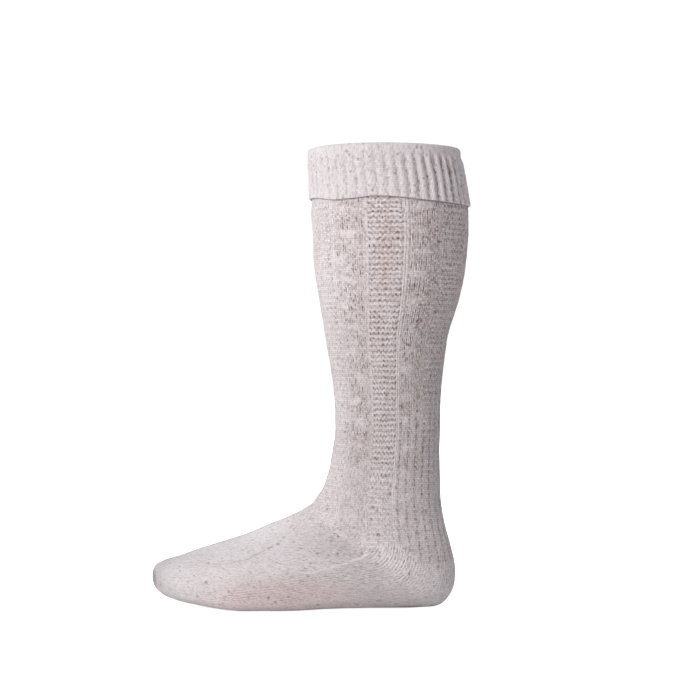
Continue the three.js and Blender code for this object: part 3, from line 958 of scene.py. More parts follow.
def add(
    tree: NodeTree, kind: str, settings: dict | Sum | None = None, *inputs: object, **links: object
) -> Node:
    """Add a node with its settings and its inputs.

    Args:
        tree: The node tree of a material or a world.
        kind: The node's type.
        settings: Properties to set on the node itself, or the sum that it does.
        *inputs: What goes into its first inputs, in order.
        **links: What goes into other inputs, by name with underscores, or by place as in0 or in1. A socket is
            linked, a node is linked by its first output, and anything else is set as the input's value.

    Returns:
        The new node.
    """
    node = tree.nodes.new(kind)
    if isinstance(settings, Sum):
        settings = {"operation": settings.value}
    for key, value in (settings or {}).items():
        setattr(node, key, value)
    places = dict(enumerate(inputs))
    for key, value in links.items():
        places[int(key[2:]) if key[2:].isdigit() else key.replace("_", " ")] = value
    for place, value in places.items():
        if isinstance(value, Node):
            value = value.outputs[0]
        if isinstance(value, NodeSocket):
            tree.links.new(value, node.inputs[place])
        else:
            node.inputs[place].default_value = value
    return node


@dataclass(frozen=True)
class Stain:
    """A soft patch of darker or washed-in colour at one place of the sock."""

    middle: tuple[float, float, float]
    radii: tuple[float, float, float]
    colour: str
    strength: float


@dataclass(frozen=True)
class MarledYarn:
    """A soft wool and cotton yarn, spun from pale and pinkish fibres with brown and grey neps caught in it.

    Hand knitting in it is quite matt. Its fibres stand out of each loop and catch a soft light edge, single
    strands run darker, and the hollows between the loops are painted with a warm brown shade.
    """

    name: str
    pale: str = "#f5eeee"
    shade: str = "#cfc2c2"
    # painted shade: the warm brown that the gaps, holes and grooves are darkened towards
    hollow: str = "#6c534a"
    nep: str = "#654c42"
    grey_nep: str = "#7a6f70"
    speckle: str = "#795d50"
    stitch_depth: float = 0.6 * MM
    # how sharply each leg of a loop is rounded off
    leg_round: float = 14.0
    # a real fibre is 0.02 mm thick, too fine to show, so the fuzz is drawn as tufts of 0.45 mm
    fuzz_size: float = 0.45 * MM
    fuzz_height: float = 0.9
    # heather from thread to thread, and slow clouds over the sock: their size, and where they turn pale
    heather_size: float = 1.5 * MM
    heather_span: tuple[float, float] = (0.36, 0.66)
    cloud_size: float = 28 * MM
    cloud_span: tuple[float, float] = (0.3, 0.7)
    # how much each of these adds to the share of pale fibre
    heather_tone: float = 0.4
    cloud_tone: float = 0.2
    loop_tone: float = 0.45
    felt_tone: float = 0.3
    # clots of dark fibre, one in a cell of the net at most, and dark flecks on single loops
    nep_spacing: float = 8.0 * MM
    nep_share: float = 0.7
    nep_ragged: float = 1.3 * MM
    nep_shake: tuple[float, float, float] = (3.2 * MM, 3.2 * MM, 2.4 * MM)
    nep_edge: tuple[float, float] = (0.02, 0.26)
    nep_dark: tuple[float, float] = (0.6, 0.13)
    fleck_share: float = 0.018
    fleck_dark: tuple[float, float] = (0.4, 0.15)
    grey_share: float = 0.4
    speckle_share: float = 0.3
    speckle_depth: float = 0.42
    # painted shade: how dark the gaps within a stitch and the pits between stitches are painted, and how much
    # felt hides of them
    gap_shade_depth: float = 0.75
    gap_span: tuple[float, float] = (0.2, 0.95)
    gap_hidden: float = 0.75
    speckle_hidden: float = 0.3
    painted_shade_depth: float = 0.8
    painted_shade_spread: tuple[float, float] = (2.0, 0.3)
    painted_shade_limit: float = 0.95
    stain_edge: tuple[float, float] = (0.3, 1.0)
    stains: tuple[Stain, ...] = ()

    def material(self) -> Material:
        """Build the material.

        The bump draws each loop as the two slanted legs of a V, or as the cross bars of a purl row, the
        colour gives the heathered mix of fibres with painted shade in the gaps and hollows, and the sheen the
        soft light edge of brushed wool.

        Returns:
            The material.
        """
        material = bpy.data.materials.new(self.name)
        material.use_nodes = True
        tree = material.node_tree
        tree.nodes.clear()
        height = self.stitches(tree)
        colour = self.colour(tree, height)
        fuzzy = self.fuzz(tree, height)
        bump = add(tree, "ShaderNodeBump", Strength=1.0, Distance=self.stitch_depth, Height=fuzzy)
        shader = add(
            tree,
            "ShaderNodeBsdfPrincipled",
            Base_Color=colour,
            Normal=bump,
            Roughness=0.93,
            IOR=1.5,
            Specular_IOR_Level=0.22,
            Sheen_Weight=0.4,
            Sheen_Roughness=0.4,
        )
        add(tree, "ShaderNodeOutputMaterial", Surface=shader)
        return material

    @staticmethod
    def stitch_map(tree: NodeTree) -> tuple[NodeSocket, NodeSocket, Node]:
        """Read the wale, the course, and how far each place lies from the middle line of its wale.

        Args:
            tree: The material's node tree.

        Returns:
            The sockets of the first two, and the node that gives the third.
        """
        split = add(tree, "ShaderNodeSeparateXYZ", None, add(tree, "ShaderNodeUVMap", {"uv_map": STITCH_MAP}))
        wale, course = split.outputs["X"], split.outputs["Y"]
        off = add(tree, MATHS, Sum.MINUS, add(tree, MATHS, Sum.FRACTION, wale), 0.5)
        return wale, course, add(tree, MATHS, Sum.SIZE, off)

    def stitches(self, tree: NodeTree) -> NodeSocket:
        """Draw the loops from the map of the stitches, from 0 in the gaps to 1 on the yarn.

        Args:
            tree: The material's node tree.

        Returns:
            The socket of the yarn's height.
        """
        _, course, side = self.stitch_map(tree)
        off = add(tree, MATHS, Sum.MINUS, side, 0.25)
        round_leg = add(tree, MATHS, Sum.TIMES, add(tree, MATHS, Sum.TIMES, off, off), self.leg_round)
        leg = add(tree, MATHS, Sum.MINUS, 1.0, round_leg)
        slant = add(tree, MATHS, Sum.TIMES, add(tree, MATHS, Sum.PLUS, course, side), math.pi)
        loop = add(tree, MATHS, Sum.SIZE, add(tree, MATHS, Sum.WAVE, slant))
        knit = add(tree, MATHS, Sum.TIMES, leg, add(tree, MATHS, Sum.TIMES_PLUS, loop, 0.5, 0.5))
        across = add(tree, MATHS, Sum.TIMES_PLUS, course, math.pi, side)
        bar = add(tree, MATHS, Sum.SIZE, add(tree, MATHS, Sum.WAVE, across))
        purl = add(tree, POINTS, {"attribute_name": "purl"}).outputs["Fac"]
        mix = add(tree, MIX, {"data_type": "FLOAT"}, purl, in2=knit, in3=bar)
        return mix.outputs[0]

    def fuzz(self, tree: NodeTree, height: NodeSocket) -> Node:
        """Roughen the yarn with loose fibres.

        Args:
            tree: The material's node tree.
            height: The yarn's height without them.

        Returns:
            The node that gives the height with them.
        """
        place = add(tree, "ShaderNodeTexCoord").outputs["Object"]
        fibres = add(tree, NOISE, Vector=place, Scale=1 / self.fuzz_size, Detail=3.0, Roughness=0.65)
        return add(tree, MATHS, Sum.TIMES_PLUS, fibres.outputs["Fac"], self.fuzz_height, height)

    def loops(self, tree: NodeTree, strands: float = 1.0) -> Node:
        """Give each loop, or each of its strands, three random numbers to pick its tone and its flecks by.

        Args:
            tree: The material's node tree.
            strands: How many strands a loop has.

        Returns:
            The node that gives the numbers as X, Y and Z.
        """
        wale, course, side = self.stitch_map(tree)
        column = add(tree, MATHS, Sum.WHOLE, add(tree, MATHS, Sum.TIMES, wale, strands))
        row = add(tree, MATHS, Sum.WHOLE, add(tree, MATHS, Sum.PLUS, course, side))
        cell = add(tree, "ShaderNodeCombineXYZ", None, column, row, strands + 0.5)
        noise = add(tree, "ShaderNodeTexWhiteNoise", {"noise_dimensions": "3D"}, cell)
        return add(tree, "ShaderNodeSeparateXYZ", None, noise.outputs["Color"])

    def neps(self, tree: NodeTree) -> Node:
        """Scatter small clots of dark fibre, one for some of the cells of a loose net.

        Args:
            tree: The material's node tree.

        Returns:
            The node that gives the share of dark fibre.
        """
        place = add(tree, "ShaderNodeTexCoord").outputs["Object"]
        ragged = add(tree, NOISE, Vector=place, Scale=1 / self.nep_ragged, Detail=2.0)
        shaken = add(tree, VECTORS, Sum.TIMES_PLUS, ragged.outputs["Color"], self.nep_shake, place)
        cells = add(tree, "ShaderNodeTexVoronoi", Vector=shaken, Scale=1 / self.nep_spacing)
        draw = add(tree, "ShaderNodeSeparateXYZ", None, cells.outputs["Color"])
        chosen = add(tree, MATHS, Sum.BELOW, draw.outputs["X"], self.nep_share)
        away = add(tree, RAMP, S_CURVE, cells.outputs["Distance"], *self.nep_edge)
        solid = add(tree, MATHS, Sum.MINUS, 1.0, away)
        faint = add(tree, MATHS, Sum.TIMES_PLUS, draw.outputs["Y"], *self.nep_dark)
        return add(tree, MATHS, Sum.TIMES, add(tree, MATHS, Sum.TIMES, solid, chosen), faint)

    def stained(self, tree: NodeTree, yarn: NodeSocket, stain: Stain) -> NodeSocket:
        """Lay one soft stain over the yarn's colour.

        Args:
            tree: The material's node tree.
            yarn: The yarn's colour.
            stain: The stain's place, size, colour and strength.

        Returns:
            The socket of the stained colour.
        """
        place = add(tree, "ShaderNodeTexCoord").outputs["Object"]
        moved = add(tree, VECTORS, Sum.MINUS, place, stain.middle)
        scaled = add(tree, VECTORS, Sum.OVER, moved, stain.radii)
        away = add(tree, VECTORS, Sum.LENGTH, scaled).outputs["Value"]
        inside = add(tree, MATHS, Sum.MINUS, 1.0, add(tree, RAMP, S_CURVE, away, *self.stain_edge))
        share = add(tree, MATHS, Sum.TIMES, inside, stain.strength)
        multiply = {**COLOURS, "blend_type": "MULTIPLY"}
        return add(tree, MIX, multiply, share, in6=yarn, in7=linear(stain.colour)).outputs[2]

    def pale_share(self, tree: NodeTree, draw: Node, felt: NodeSocket) -> Node:
        """Mix heather, clouds, the loop's own tone and felt into the share of pale fibre.

        Args:
            tree: The material's node tree.
            draw: The node of the loop's random numbers.
            felt: How felted the yarn is.

        Returns:
            The node that gives the share.
        """
        place = add(tree, "ShaderNodeTexCoord").outputs["Object"]
        heather = add(tree, NOISE, Vector=place, Scale=1 / self.heather_size, Detail=2.0, Roughness=0.7)
        cloud = add(tree, NOISE, Vector=place, Scale=1 / self.cloud_size, Detail=2.0)
        fibre = add(tree, RAMP, S_CURVE, heather.outputs["Fac"], *self.heather_span)
        share = add(tree, MATHS, Sum.TIMES, fibre, self.heather_tone)
        patch = add(tree, RAMP, S_CURVE, cloud.outputs["Fac"], *self.cloud_span)
        tones = ((patch, self.cloud_tone), (draw.outputs["X"], self.loop_tone), (felt, self.felt_tone))
        for value, tone in tones:
            share = add(tree, MATHS, Sum.TIMES_PLUS, value, tone, share)
        return add(tree, MATHS, Sum.LEAST, share, 1.0)

    def colour(self, tree: NodeTree, height: NodeSocket) -> NodeSocket:
        """Colour the yarn: heathered fibres, soft clouds, painted shade in the gaps and hollows, and neps.

        Args:
            tree: The material's node tree.
            height: The yarn's height.

        Returns:
            The socket of the colour.
        """
        draw, strand = self.loops(tree), self.loops(tree, 2.0)
        felt = add(tree, POINTS, {"attribute_name": "felt"}).outputs["Fac"]
        share = self.pale_share(tree, draw, felt)
        yarn = add(tree, MIX, COLOURS, share, in6=linear(self.shade), in7=linear(self.pale)).outputs[2]
        for stain in self.stains:
            yarn = self.stained(tree, yarn, stain)
        # painted shade: the low parts of each loop and the pattern's hollows are mixed towards the warm
        # hollow colour, less where felted
        dip = add(tree, RAMP, S_CURVE, add(tree, MATHS, Sum.MINUS, 1.0, height), *self.gap_span)
        gap_shade_share = add(tree, MATHS, Sum.TIMES_PLUS, felt, -self.gap_hidden * self.gap_shade_depth, self.gap_shade_depth)
        uneven = add(tree, MATHS, Sum.TIMES, strand.outputs["X"], strand.outputs["X"])
        uneven = add(tree, MATHS, Sum.TIMES_PLUS, uneven, *self.painted_shade_spread)
        painted_shade = add(tree, POINTS, {"attribute_name": "painted_shade"}).outputs["Fac"]
        painted_shade = add(tree, MATHS, Sum.TIMES, painted_shade, uneven)
        painted_shade = add(tree, MATHS, Sum.LEAST, add(tree, MATHS, Sum.TIMES, painted_shade, self.painted_shade_depth), self.painted_shade_limit)
        dark_fibre = add(tree, RAMP, S_CURVE, strand.outputs["Y"], 1.0 - self.speckle_share, 1.0)
        hidden = -self.speckle_hidden * self.speckle_depth
        bare = add(tree, MATHS, Sum.TIMES_PLUS, felt, hidden, self.speckle_depth)
        fleck = add(tree, MATHS, Sum.BELOW, draw.outputs["Y"], self.fleck_share)
        deep = add(tree, MATHS, Sum.TIMES_PLUS, draw.outputs["Z"], *self.fleck_dark)
        grey = add(tree, MATHS, Sum.FRACTION, add(tree, MATHS, Sum.TIMES, draw.outputs["Z"], 7.0))
        grey = add(tree, MATHS, Sum.BELOW, grey, self.grey_share)
        nep = add(tree, MIX, COLOURS, grey, in6=linear(self.nep), in7=linear(self.grey_nep)).outputs[2]
        layers = (
            (add(tree, MATHS, Sum.TIMES, dip, gap_shade_share), linear(self.hollow)),
            (painted_shade, linear(self.hollow)),
            (add(tree, MATHS, Sum.TIMES, dark_fibre, bare), linear(self.speckle)),
            (add(tree, MATHS, Sum.TIMES, fleck, deep), nep),
            (self.neps(tree), linear(self.nep)),
        )
        for share, tint in layers:
            yarn = add(tree, MIX, COLOURS, share, in6=yarn, in7=tint).outputs[2]
        return yarn


# a method that gives the points of a face, and their stitches, at places of the piece's own grid
Face = Callable[[np.ndarray, np.ndarray], tuple[np.ndarray, Relief]]


@dataclass
class KnitPiece:
    """One knitted piece: a body with a dense outer face, a coarser inner face and closed edges."""

    name: str
    node: str
    slot: Slot
    finish: MarledYarn
    skin: SockSkin
    work: Stitchwork
    columns: int
    rows: int
    # steps of the outer face to one of the inner, how far the piece keeps off its edges in millimetres,
    # and whether it closes on itself round the sock
    coarseness: int = 6
    margin: float = 0.02
    ring: bool = False

    def place(self, across: np.ndarray, down: np.ndarray) -> tuple[np.ndarray, np.ndarray]:
        """Say where on the skin a place of the piece's own grid lies.

        Args:
            across: From 0 on the piece's first edge to 1 on its second.
            down: From 0 at its top to 1 at its end.

        Returns:
            The reach and the share of each place.
        """
        raise NotImplementedError

    def on_skin(self, across: np.ndarray, down: np.ndarray) -> tuple[np.ndarray, np.ndarray, Relief]:
        """Give the skin's points and directions at places of the piece's grid, with their stitches.

        Args:
            across: From 0 on the piece's first edge to 1 on its second.
            down: From 0 at its top to 1 at its end.

        Returns:
            The points in millimetres, the outward directions, and the relief.
        """
        reach, share = self.place(across, down)
        base = self.skin.read(self.skin.points, reach, share)
        normal = unit(self.skin.read(self.skin.normals, reach, share))
        return base, normal, self.work.relief(reach, share, base)

    def outer(self, across: np.ndarray, down: np.ndarray) -> tuple[np.ndarray, Relief]:
        """Give the points of the outer face in millimetres, with their stitches."""
        base, normal, relief = self.on_skin(across, down)
        return base + normal * relief.height[..., None], relief

    def inner(self, across: np.ndarray, down: np.ndarray) -> tuple[np.ndarray, Relief]:
        """Give the points of the plain inner face in millimetres, with their stitches.

        Args:
            across: From 0 on the piece's first edge to 1 on its second.
            down: From 0 at its top to 1 at its end.

        Returns:
            The points, and the relief.
        """
        base, normal, relief = self.on_skin(across, down)
        relief.painted_shade, relief.purl = np.zeros_like(relief.painted_shade), np.ones_like(relief.purl)
        return base - normal * self.skin.sizes.wall, relief

    def grid(self, columns: int, rows: int, face: Face, turned: bool) -> Object:
        """Lay a flat grid and draw it on to one face of the piece.

        Args:
            columns: How many steps the grid has across.
            rows: How many steps it has down.
            face: The method that gives the face's points.
            turned: Whether the face looks inwards.

        Returns:
            The grid as an object, with its stitches and directions as attributes.
        """
        bpy.ops.object.select_all(action="DESELECT")
        bpy.ops.mesh.primitive_grid_add(
            x_subdivisions=columns, y_subdivisions=rows, size=2, location=(0, 0, 0)
        )
        sheet = bpy.context.object
        flat = np.empty(len(sheet.data.vertices) * 3, np.float32)
        sheet.data.vertices.foreach_get("co", flat)
        flat = flat.reshape(-1, 3)
        column = np.rint((flat[:, 0] + 1) / 2 * columns).astype(int)
        row = np.rint((flat[:, 1] + 1) / 2 * rows).astype(int)
        across, down = np.meshgrid(np.arange(-1, columns + 2) / columns, np.arange(-1, rows + 2) / rows)
        points, relief = face(across, down)
        facing = unit(np.cross(points[2:, 1:-1] - points[:-2, 1:-1], points[1:-1, 2:] - points[1:-1, :-2]))
        if turned:
            facing = -facing
        points = points[1:-1, 1:-1] * MM
        sheet.data.vertices.foreach_set("co", points[row, column].astype(np.float32).ravel())
        for key in ("painted_shade", "purl", "felt", "wale", "course"):
            layer = sheet.data.attributes.new(key, "FLOAT", "POINT")
            values = getattr(relief, key)[1:-1, 1:-1]
            layer.data.foreach_set("value", values[row, column].astype(np.float32))
        layer = sheet.data.attributes.new("facing", "FLOAT_VECTOR", "POINT")
        layer.data.foreach_set("vector", facing[row, column].astype(np.float32).ravel())
        sheet.data.update()
        return sheet

    @staticmethod
    def zip_edge(mesh: bmesh.types.BMesh, fine: list[int], coarse: list[int]) -> None:
        """Close the gap between a fine and a coarse edge with triangles.

        Args:
            mesh: The mesh that holds both.
            fine: The places of the fine edge's points, in order.
            coarse: The places of the coarse edge's points, in the same order.
        """
        step = (len(fine) - 1) // (len(coarse) - 1)
        vertex = mesh.verts
        for j in range(len(coarse) - 1):
            for i in range(j * step, (j + 1) * step):
                mesh.faces.new((vertex[fine[i]], vertex[fine[i + 1]], vertex[coarse[j]]))
            mesh.faces.new((vertex[fine[(j + 1) * step]], vertex[coarse[j + 1]], vertex[coarse[j]]))
    def edges(self) -> list[tuple[list[int], list[int]]]:
        """List the pairs of outer and inner edges to close, by the places of their points.

        Returns:
            For each pair the points of the fine outer edge and of the coarse inner one, in the same order.
        """
        columns, rows = self.columns // self.coarseness, self.rows // self.coarseness
        fine = np.arange((self.rows + 1) * (self.columns + 1)).reshape(self.rows + 1, self.columns + 1)
        coarse = fine.size + np.arange((rows + 1) * (columns + 1)).reshape(rows + 1, columns + 1)
        pairs = [(fine[i].tolist(), coarse[i].tolist()) for i in (0, -1)]
        if not self.ring:
            pairs += [(fine[:, j].tolist(), coarse[:, j].tolist()) for j in (0, -1)]
        return pairs

    def make(self) -> Object:
        """Build the piece, finish it and put it in the frame.

        Returns:
            The finished piece.
        """
        outer = self.grid(self.columns, self.rows, self.outer, False)
        inner = self.grid(self.columns // self.coarseness, self.rows // self.coarseness, self.inner, True)
        bpy.ops.object.select_all(action="DESELECT")
        inner.select_set(True)
        outer.select_set(True)
        bpy.context.view_layer.objects.active = outer
        bpy.ops.object.join()
        shell = bmesh.new()
        shell.from_mesh(outer.data)
        shell.verts.ensure_lookup_table()
        for fine, coarse in self.edges():
            self.zip_edge(shell, fine, coarse)
        shell.to_mesh(outer.data)
        shell.free()
        return self.finished(outer)

    def finished(self, piece: Object) -> Object:
        """Map the stitches, merge the seams, point the faces outwards, smooth and dress the piece.

        Args:
            piece: The piece with its faces in place.

        Returns:
            The same piece, finished.
        """
        self.map_stitches(piece.data)
        bpy.ops.object.select_all(action="DESELECT")
        piece.select_set(True)
        bpy.context.view_layer.objects.active = piece
        bpy.ops.object.mode_set(mode="EDIT")
        bpy.ops.mesh.select_all(action="SELECT")
        bpy.ops.mesh.remove_doubles(threshold=0.001 * MM)
        bpy.ops.mesh.normals_make_consistent(inside=False)
        bpy.ops.object.mode_set(mode="OBJECT")
        bpy.ops.object.shade_smooth()
        self.direct(piece.data)
        piece.name = piece.data.name = self.name
        piece.data.materials.clear()
        piece.data.materials.append(self.finish.material())
        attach(piece, ROOT)
        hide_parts(self.node)
        piece.data.calc_loop_triangles()
        log.info("%s: %d triangles", self.name, len(piece.data.loop_triangles))
        return piece

    @staticmethod
    def map_stitches(mesh: Mesh) -> None:
        """Turn the wales and courses of the points into a map of the faces.

        Args:
            mesh: The piece's mesh.
        """
        corners = np.empty(len(mesh.loops), np.int32)
        mesh.loops.foreach_get("vertex_index", corners)
        values = []
        for key in ("wale", "course"):
            points = np.empty(len(mesh.vertices), np.float32)
            mesh.attributes[key].data.foreach_get("value", points)
            values.append(points[corners])
            mesh.attributes.remove(mesh.attributes[key])
        while mesh.uv_layers:
            mesh.uv_layers.remove(mesh.uv_layers[0])
        layer = mesh.uv_layers.new(name=STITCH_MAP)
        layer.data.foreach_set("uv", np.stack(values, axis=1).ravel())

    @staticmethod
    def direct(mesh: Mesh) -> None:
        """Shade the outer face by the skin's own directions, so that no line shows where pieces meet.

        Args:
            mesh: The piece's mesh.
        """
        facing = np.empty(len(mesh.vertices) * 3, np.float32)
        mesh.attributes["facing"].data.foreach_get("vector", facing)
        mesh.attributes.remove(mesh.attributes["facing"])
        facing = facing.reshape(-1, 3)
        own = np.empty(len(mesh.vertices) * 3, np.float32)
        mesh.vertices.foreach_get("normal", own)
        own = own.reshape(-1, 3)
        known = np.linalg.norm(facing, axis=1) > 0.5
        facing = np.where(known[:, None], facing, own)
        mesh.normals_split_custom_set_from_vertices(unit(facing))


@dataclass
class LegPanel(KnitPiece):
    """One third of the leg, from under the cuff down to the heel, between the grooves beside two ribs."""

    # the shares of its two sides, and the length round the leg in millimetres
    first: float = 0.0
    second: float = 0.5
    girth: float = 300.0

    def place(self, across: np.ndarray, down: np.ndarray) -> tuple[np.ndarray, np.ndarray]:
        """Run from the leg's top edge to the heel, between two grooves.

        Args:
            across: From 0 on the piece's first edge to 1 on its second.
            down: From 0 at its top to 1 at its end.

        Returns:
            The reach and the share of each place.
        """
        end = self.skin.row(4) - self.margin
        reach = np.clip(down, 0, None) * end
        gap = self.margin / self.girth
        return reach, self.first + gap + (self.second - self.first - 2 * gap) * across


@dataclass
class FootPanel(KnitPiece):
    """A piece of the foot on one side of the seam between its upper and its sole."""

    # rows of the foot's sections, and the length round it in millimetres
    first_row: float = 4.0
    last_row: float = 15.0
    upper: bool = True
    girth: float = 250.0

    def place(self, across: np.ndarray, down: np.ndarray) -> tuple[np.ndarray, np.ndarray]:
        """Run between two rows of the foot, on the upper or the lower side of the seam.

        Args:
            across: From 0 on the piece's first edge to 1 on its second.
            down: From 0 at its top to 1 at its end.

        Returns:
            The reach and the share of each place.
        """
        start, end = self.skin.row(self.first_row) + self.margin, self.skin.row(self.last_row) - self.margin
        reach = start + (end - start) * down
        gap = self.margin / self.girth
        seam = self.skin.seam(reach)
        if self.upper:
            return reach, (2 * across - 1) * (seam - gap)
        edge = seam + gap
        return reach, edge + (1 - 2 * edge) * across


@dataclass
class ToeCap(KnitPiece):
    """The closed toe."""

    ring: bool = True
    # the row it starts from, and how near the tip its stitches start to lie flat
    first_row: float = 15.0
    tip_flat: float = 3.0

    def place(self, across: np.ndarray, down: np.ndarray) -> tuple[np.ndarray, np.ndarray]:
        """Run from the end of the instep and the sole to the tip.

        Args:
            across: From 0 on the piece's first edge to 1 on its second.
            down: From 0 at its top to 1 at its end.

        Returns:
            The reach and the share of each place.
        """
        start = self.skin.row(self.first_row) + self.margin
        end = self.skin.reaches[-1]
        return start + (end - start) * np.clip(down, 0, 1), across

    def on_skin(self, across: np.ndarray, down: np.ndarray) -> tuple[np.ndarray, np.ndarray, Relief]:
        """Give the toe's points and directions, with stitches that lie flat where they meet at the tip.

        Args:
            across: From 0 on the piece's first edge to 1 on its second.
            down: From 0 at its top to 1 at its end.

        Returns:
            The points in millimetres, the outward directions, and the relief.
        """
        base, normal, relief = super().on_skin(across, down)
        reach, _ = self.place(across, down)
        relief.height = relief.height * smooth(self.skin.reaches[-1] - reach, 0.01, self.tip_flat)
        return base, normal, relief

    def edges(self) -> list[tuple[list[int], list[int]]]:
        """Close only the open end, because the tip closes itself."""
        return super().edges()[:1]


@dataclass
class Cuff(KnitPiece):
    """The ribbed cuff, turned down once over the top of the leg."""

    ring: bool = True
    drop: float = 44.0
    thickness: float = 1.6
    ease: float = 0.5
    fold_round: float = 3.2
    fold_flat: float = 0.8
    fold_length: float = 9.9
    hem_round: float = 0.9
    hem_ripple: float = 0.25
    seat_gap: float = 0.3
    # where the stretches of the profile start, from the fold's inner edge at 0 round to it again at 1
    turn_start: float = 0.02
    wall_start: float = 0.2
    hem_start: float = 0.84
    hem_end: float = 0.9
    seat_start: float = 0.98
    # the ribs round the leg, with the wales that cover each and the height of their courses
    ribs: int = 46
    rib_turn: float = 0.675
    cover_wales: int = 4
    course: float = 1.9
    crest: float = 1.0
    lift: float = 0.15
    groove: float = 0.3
    groove_width: float = 0.3
    # painted shade in the grooves between the ribs
    groove_shade: float = 0.7
    # how full the ribs stand where the cuff is stretched, at shin and calf, and where it is slack
    taut: float = 0.3
    slack: float = 1.15
    # each rib bends a little on its way down: by how much of a rib, over what length
    bend: tuple[float, float] = (0.05, 13.0)
    sway: tuple[float, float] = (0.03, 5.5)
    rib_from: float = 2.5
    rib_full: float = 9.0
    stitch_rise: float = 0.12
    ripple: float = 0.2
    felt: float = 0.3
    # share from the shin to the back of the calf, and how far the hem hangs there as a share of the drop
    hem_rows: tuple[tuple[float, float], ...] = (
        (0, -0.07),
        (0.065, -0.058),
        (0.12, 0),
        (0.17, -0.004),
        (0.215, -0.04),
        (0.25, -0.03),
        (0.3, 0.01),
        (0.36, 0.045),
        (0.4, 0.065),
        (0.45, 0.068),
        (0.5, 0.06),
    )

    def hem(self, share: np.ndarray) -> np.ndarray:
        """Give the height of the hem round the leg.

        Args:
            share: The share round the leg.

        Returns:
            The height in millimetres.
        """
        table = np.array(self.hem_rows, float)
        turned = share % 1.0
        mirrored = np.where(turned > 0.5, 1 - turned, turned)
        dip = cubic(table[:, 0], table[:, 1:], mirrored.ravel()).reshape(share.shape)
        size = self.skin.sizes
        ripple = self.hem_ripple * self.work.waves.drift(share * 31, np.full_like(share, 0.5), 31)
        return size.sock_height - size.wall - self.drop * (1 + dip) + ripple

    def profile(self, down: np.ndarray, hem: np.ndarray) -> tuple[np.ndarray, np.ndarray, np.ndarray]:
        """Follow the cuff's thickness round: over the fold, down the outside, round the hem and up inside.

        Args:
            down: From 0 on the fold's inner edge to 1 back at it.
            hem: The hem's height at each place.

        Returns:
            How far each place stands off the leg, its height, and the length of knitting down to it.
        """
        size = self.skin.sizes
        top = size.sock_height - size.wall
        seat = top - size.fold_rise + self.seat_gap
        face = self.ease + self.thickness
        wall_top, hem_top = top - self.fold_round, hem + self.hem_round

        def run(start: float, end: float) -> np.ndarray:
            """Rise from 0 to 1 along one stretch of the profile."""
            return np.clip((down - start) / (end - start), 0, 1)

        over = run(self.turn_start, self.wall_start) * math.pi
        cos, sin = np.cos(over), np.sin(over)
        middle, half = (face - size.wall) / 2, (face + size.wall) / 2
        fold_out = middle - half * np.sign(cos) * np.abs(cos) ** self.fold_flat
        fold_z = np.maximum(wall_top + self.fold_round * sin**self.fold_flat, seat)
        wall_z = wall_top + (hem_top - wall_top) * run(self.wall_start, self.hem_start)
        under = run(self.hem_start, self.hem_end) * math.pi
        hem_out = self.ease + self.thickness / 2 + self.thickness / 2 * np.cos(under)
        hem_z = hem + self.hem_round * (1 - np.sin(under))
        inside_z = hem_top + (seat - hem_top) * run(self.hem_end, self.seat_start)
        seat_out = self.ease + (-size.wall - self.ease) * run(self.seat_start, 1)
        # the last stretch whose start a place has passed holds
        out, z = np.full_like(down, -size.wall), np.full_like(down, seat)
        for start, stretch_out, stretch_z in (
            (self.turn_start, fold_out, fold_z),
            (self.wall_start, face, wall_z),
            (self.hem_start, hem_out, hem_z),
            (self.hem_end, self.ease, inside_z),
            (self.seat_start, seat_out, seat),
        ):
            out, z = np.where(down >= start, stretch_out, out), np.where(down >= start, stretch_z, z)
        over_fold = (down - self.wall_start) / (self.wall_start - self.turn_start) * self.fold_length
        return out, z, np.where(down < self.wall_start, over_fold, wall_top - wall_z)

    def ribbing(self, share: np.ndarray, length: np.ndarray) -> tuple[np.ndarray, np.ndarray]:
        """Shape the ribs: rounded crests with a narrow, deep groove between them.

        Args:
            share: The share round the leg.
            length: The length of knitting below the fold.

        Returns:
            How far the knitting stands off, and how much painted shade lies in its grooves.
        """
        (bend, bend_length), (sway, sway_length) = self.bend, self.sway
        bent = bend * self.work.waves.drift(share * self.ribs, length / bend_length, self.ribs)
        bent = bent + sway * np.sin(length / sway_length)
        phase = share * self.ribs + self.rib_turn + bent
        x = np.abs(phase - np.floor(phase) - 0.5) * 2
        groove = np.exp(-(((1 - x) / self.groove_width) ** 2))
        number = np.floor(phase) % self.ribs
        from_calf = np.abs((share % 1.0) - 0.5)
        full = self.taut + (self.slack - self.taut) * smooth(0.3 - from_calf, 0.0, 0.24)
        own = self.work.loops.stitch(number + 90, np.floor(length / 40))
        height = self.crest * np.cos(math.pi * x) * (0.85 + 0.3 * own)
        return full * (height + self.lift - self.groove * groove), full * smooth(x, 0.5, 1.0)

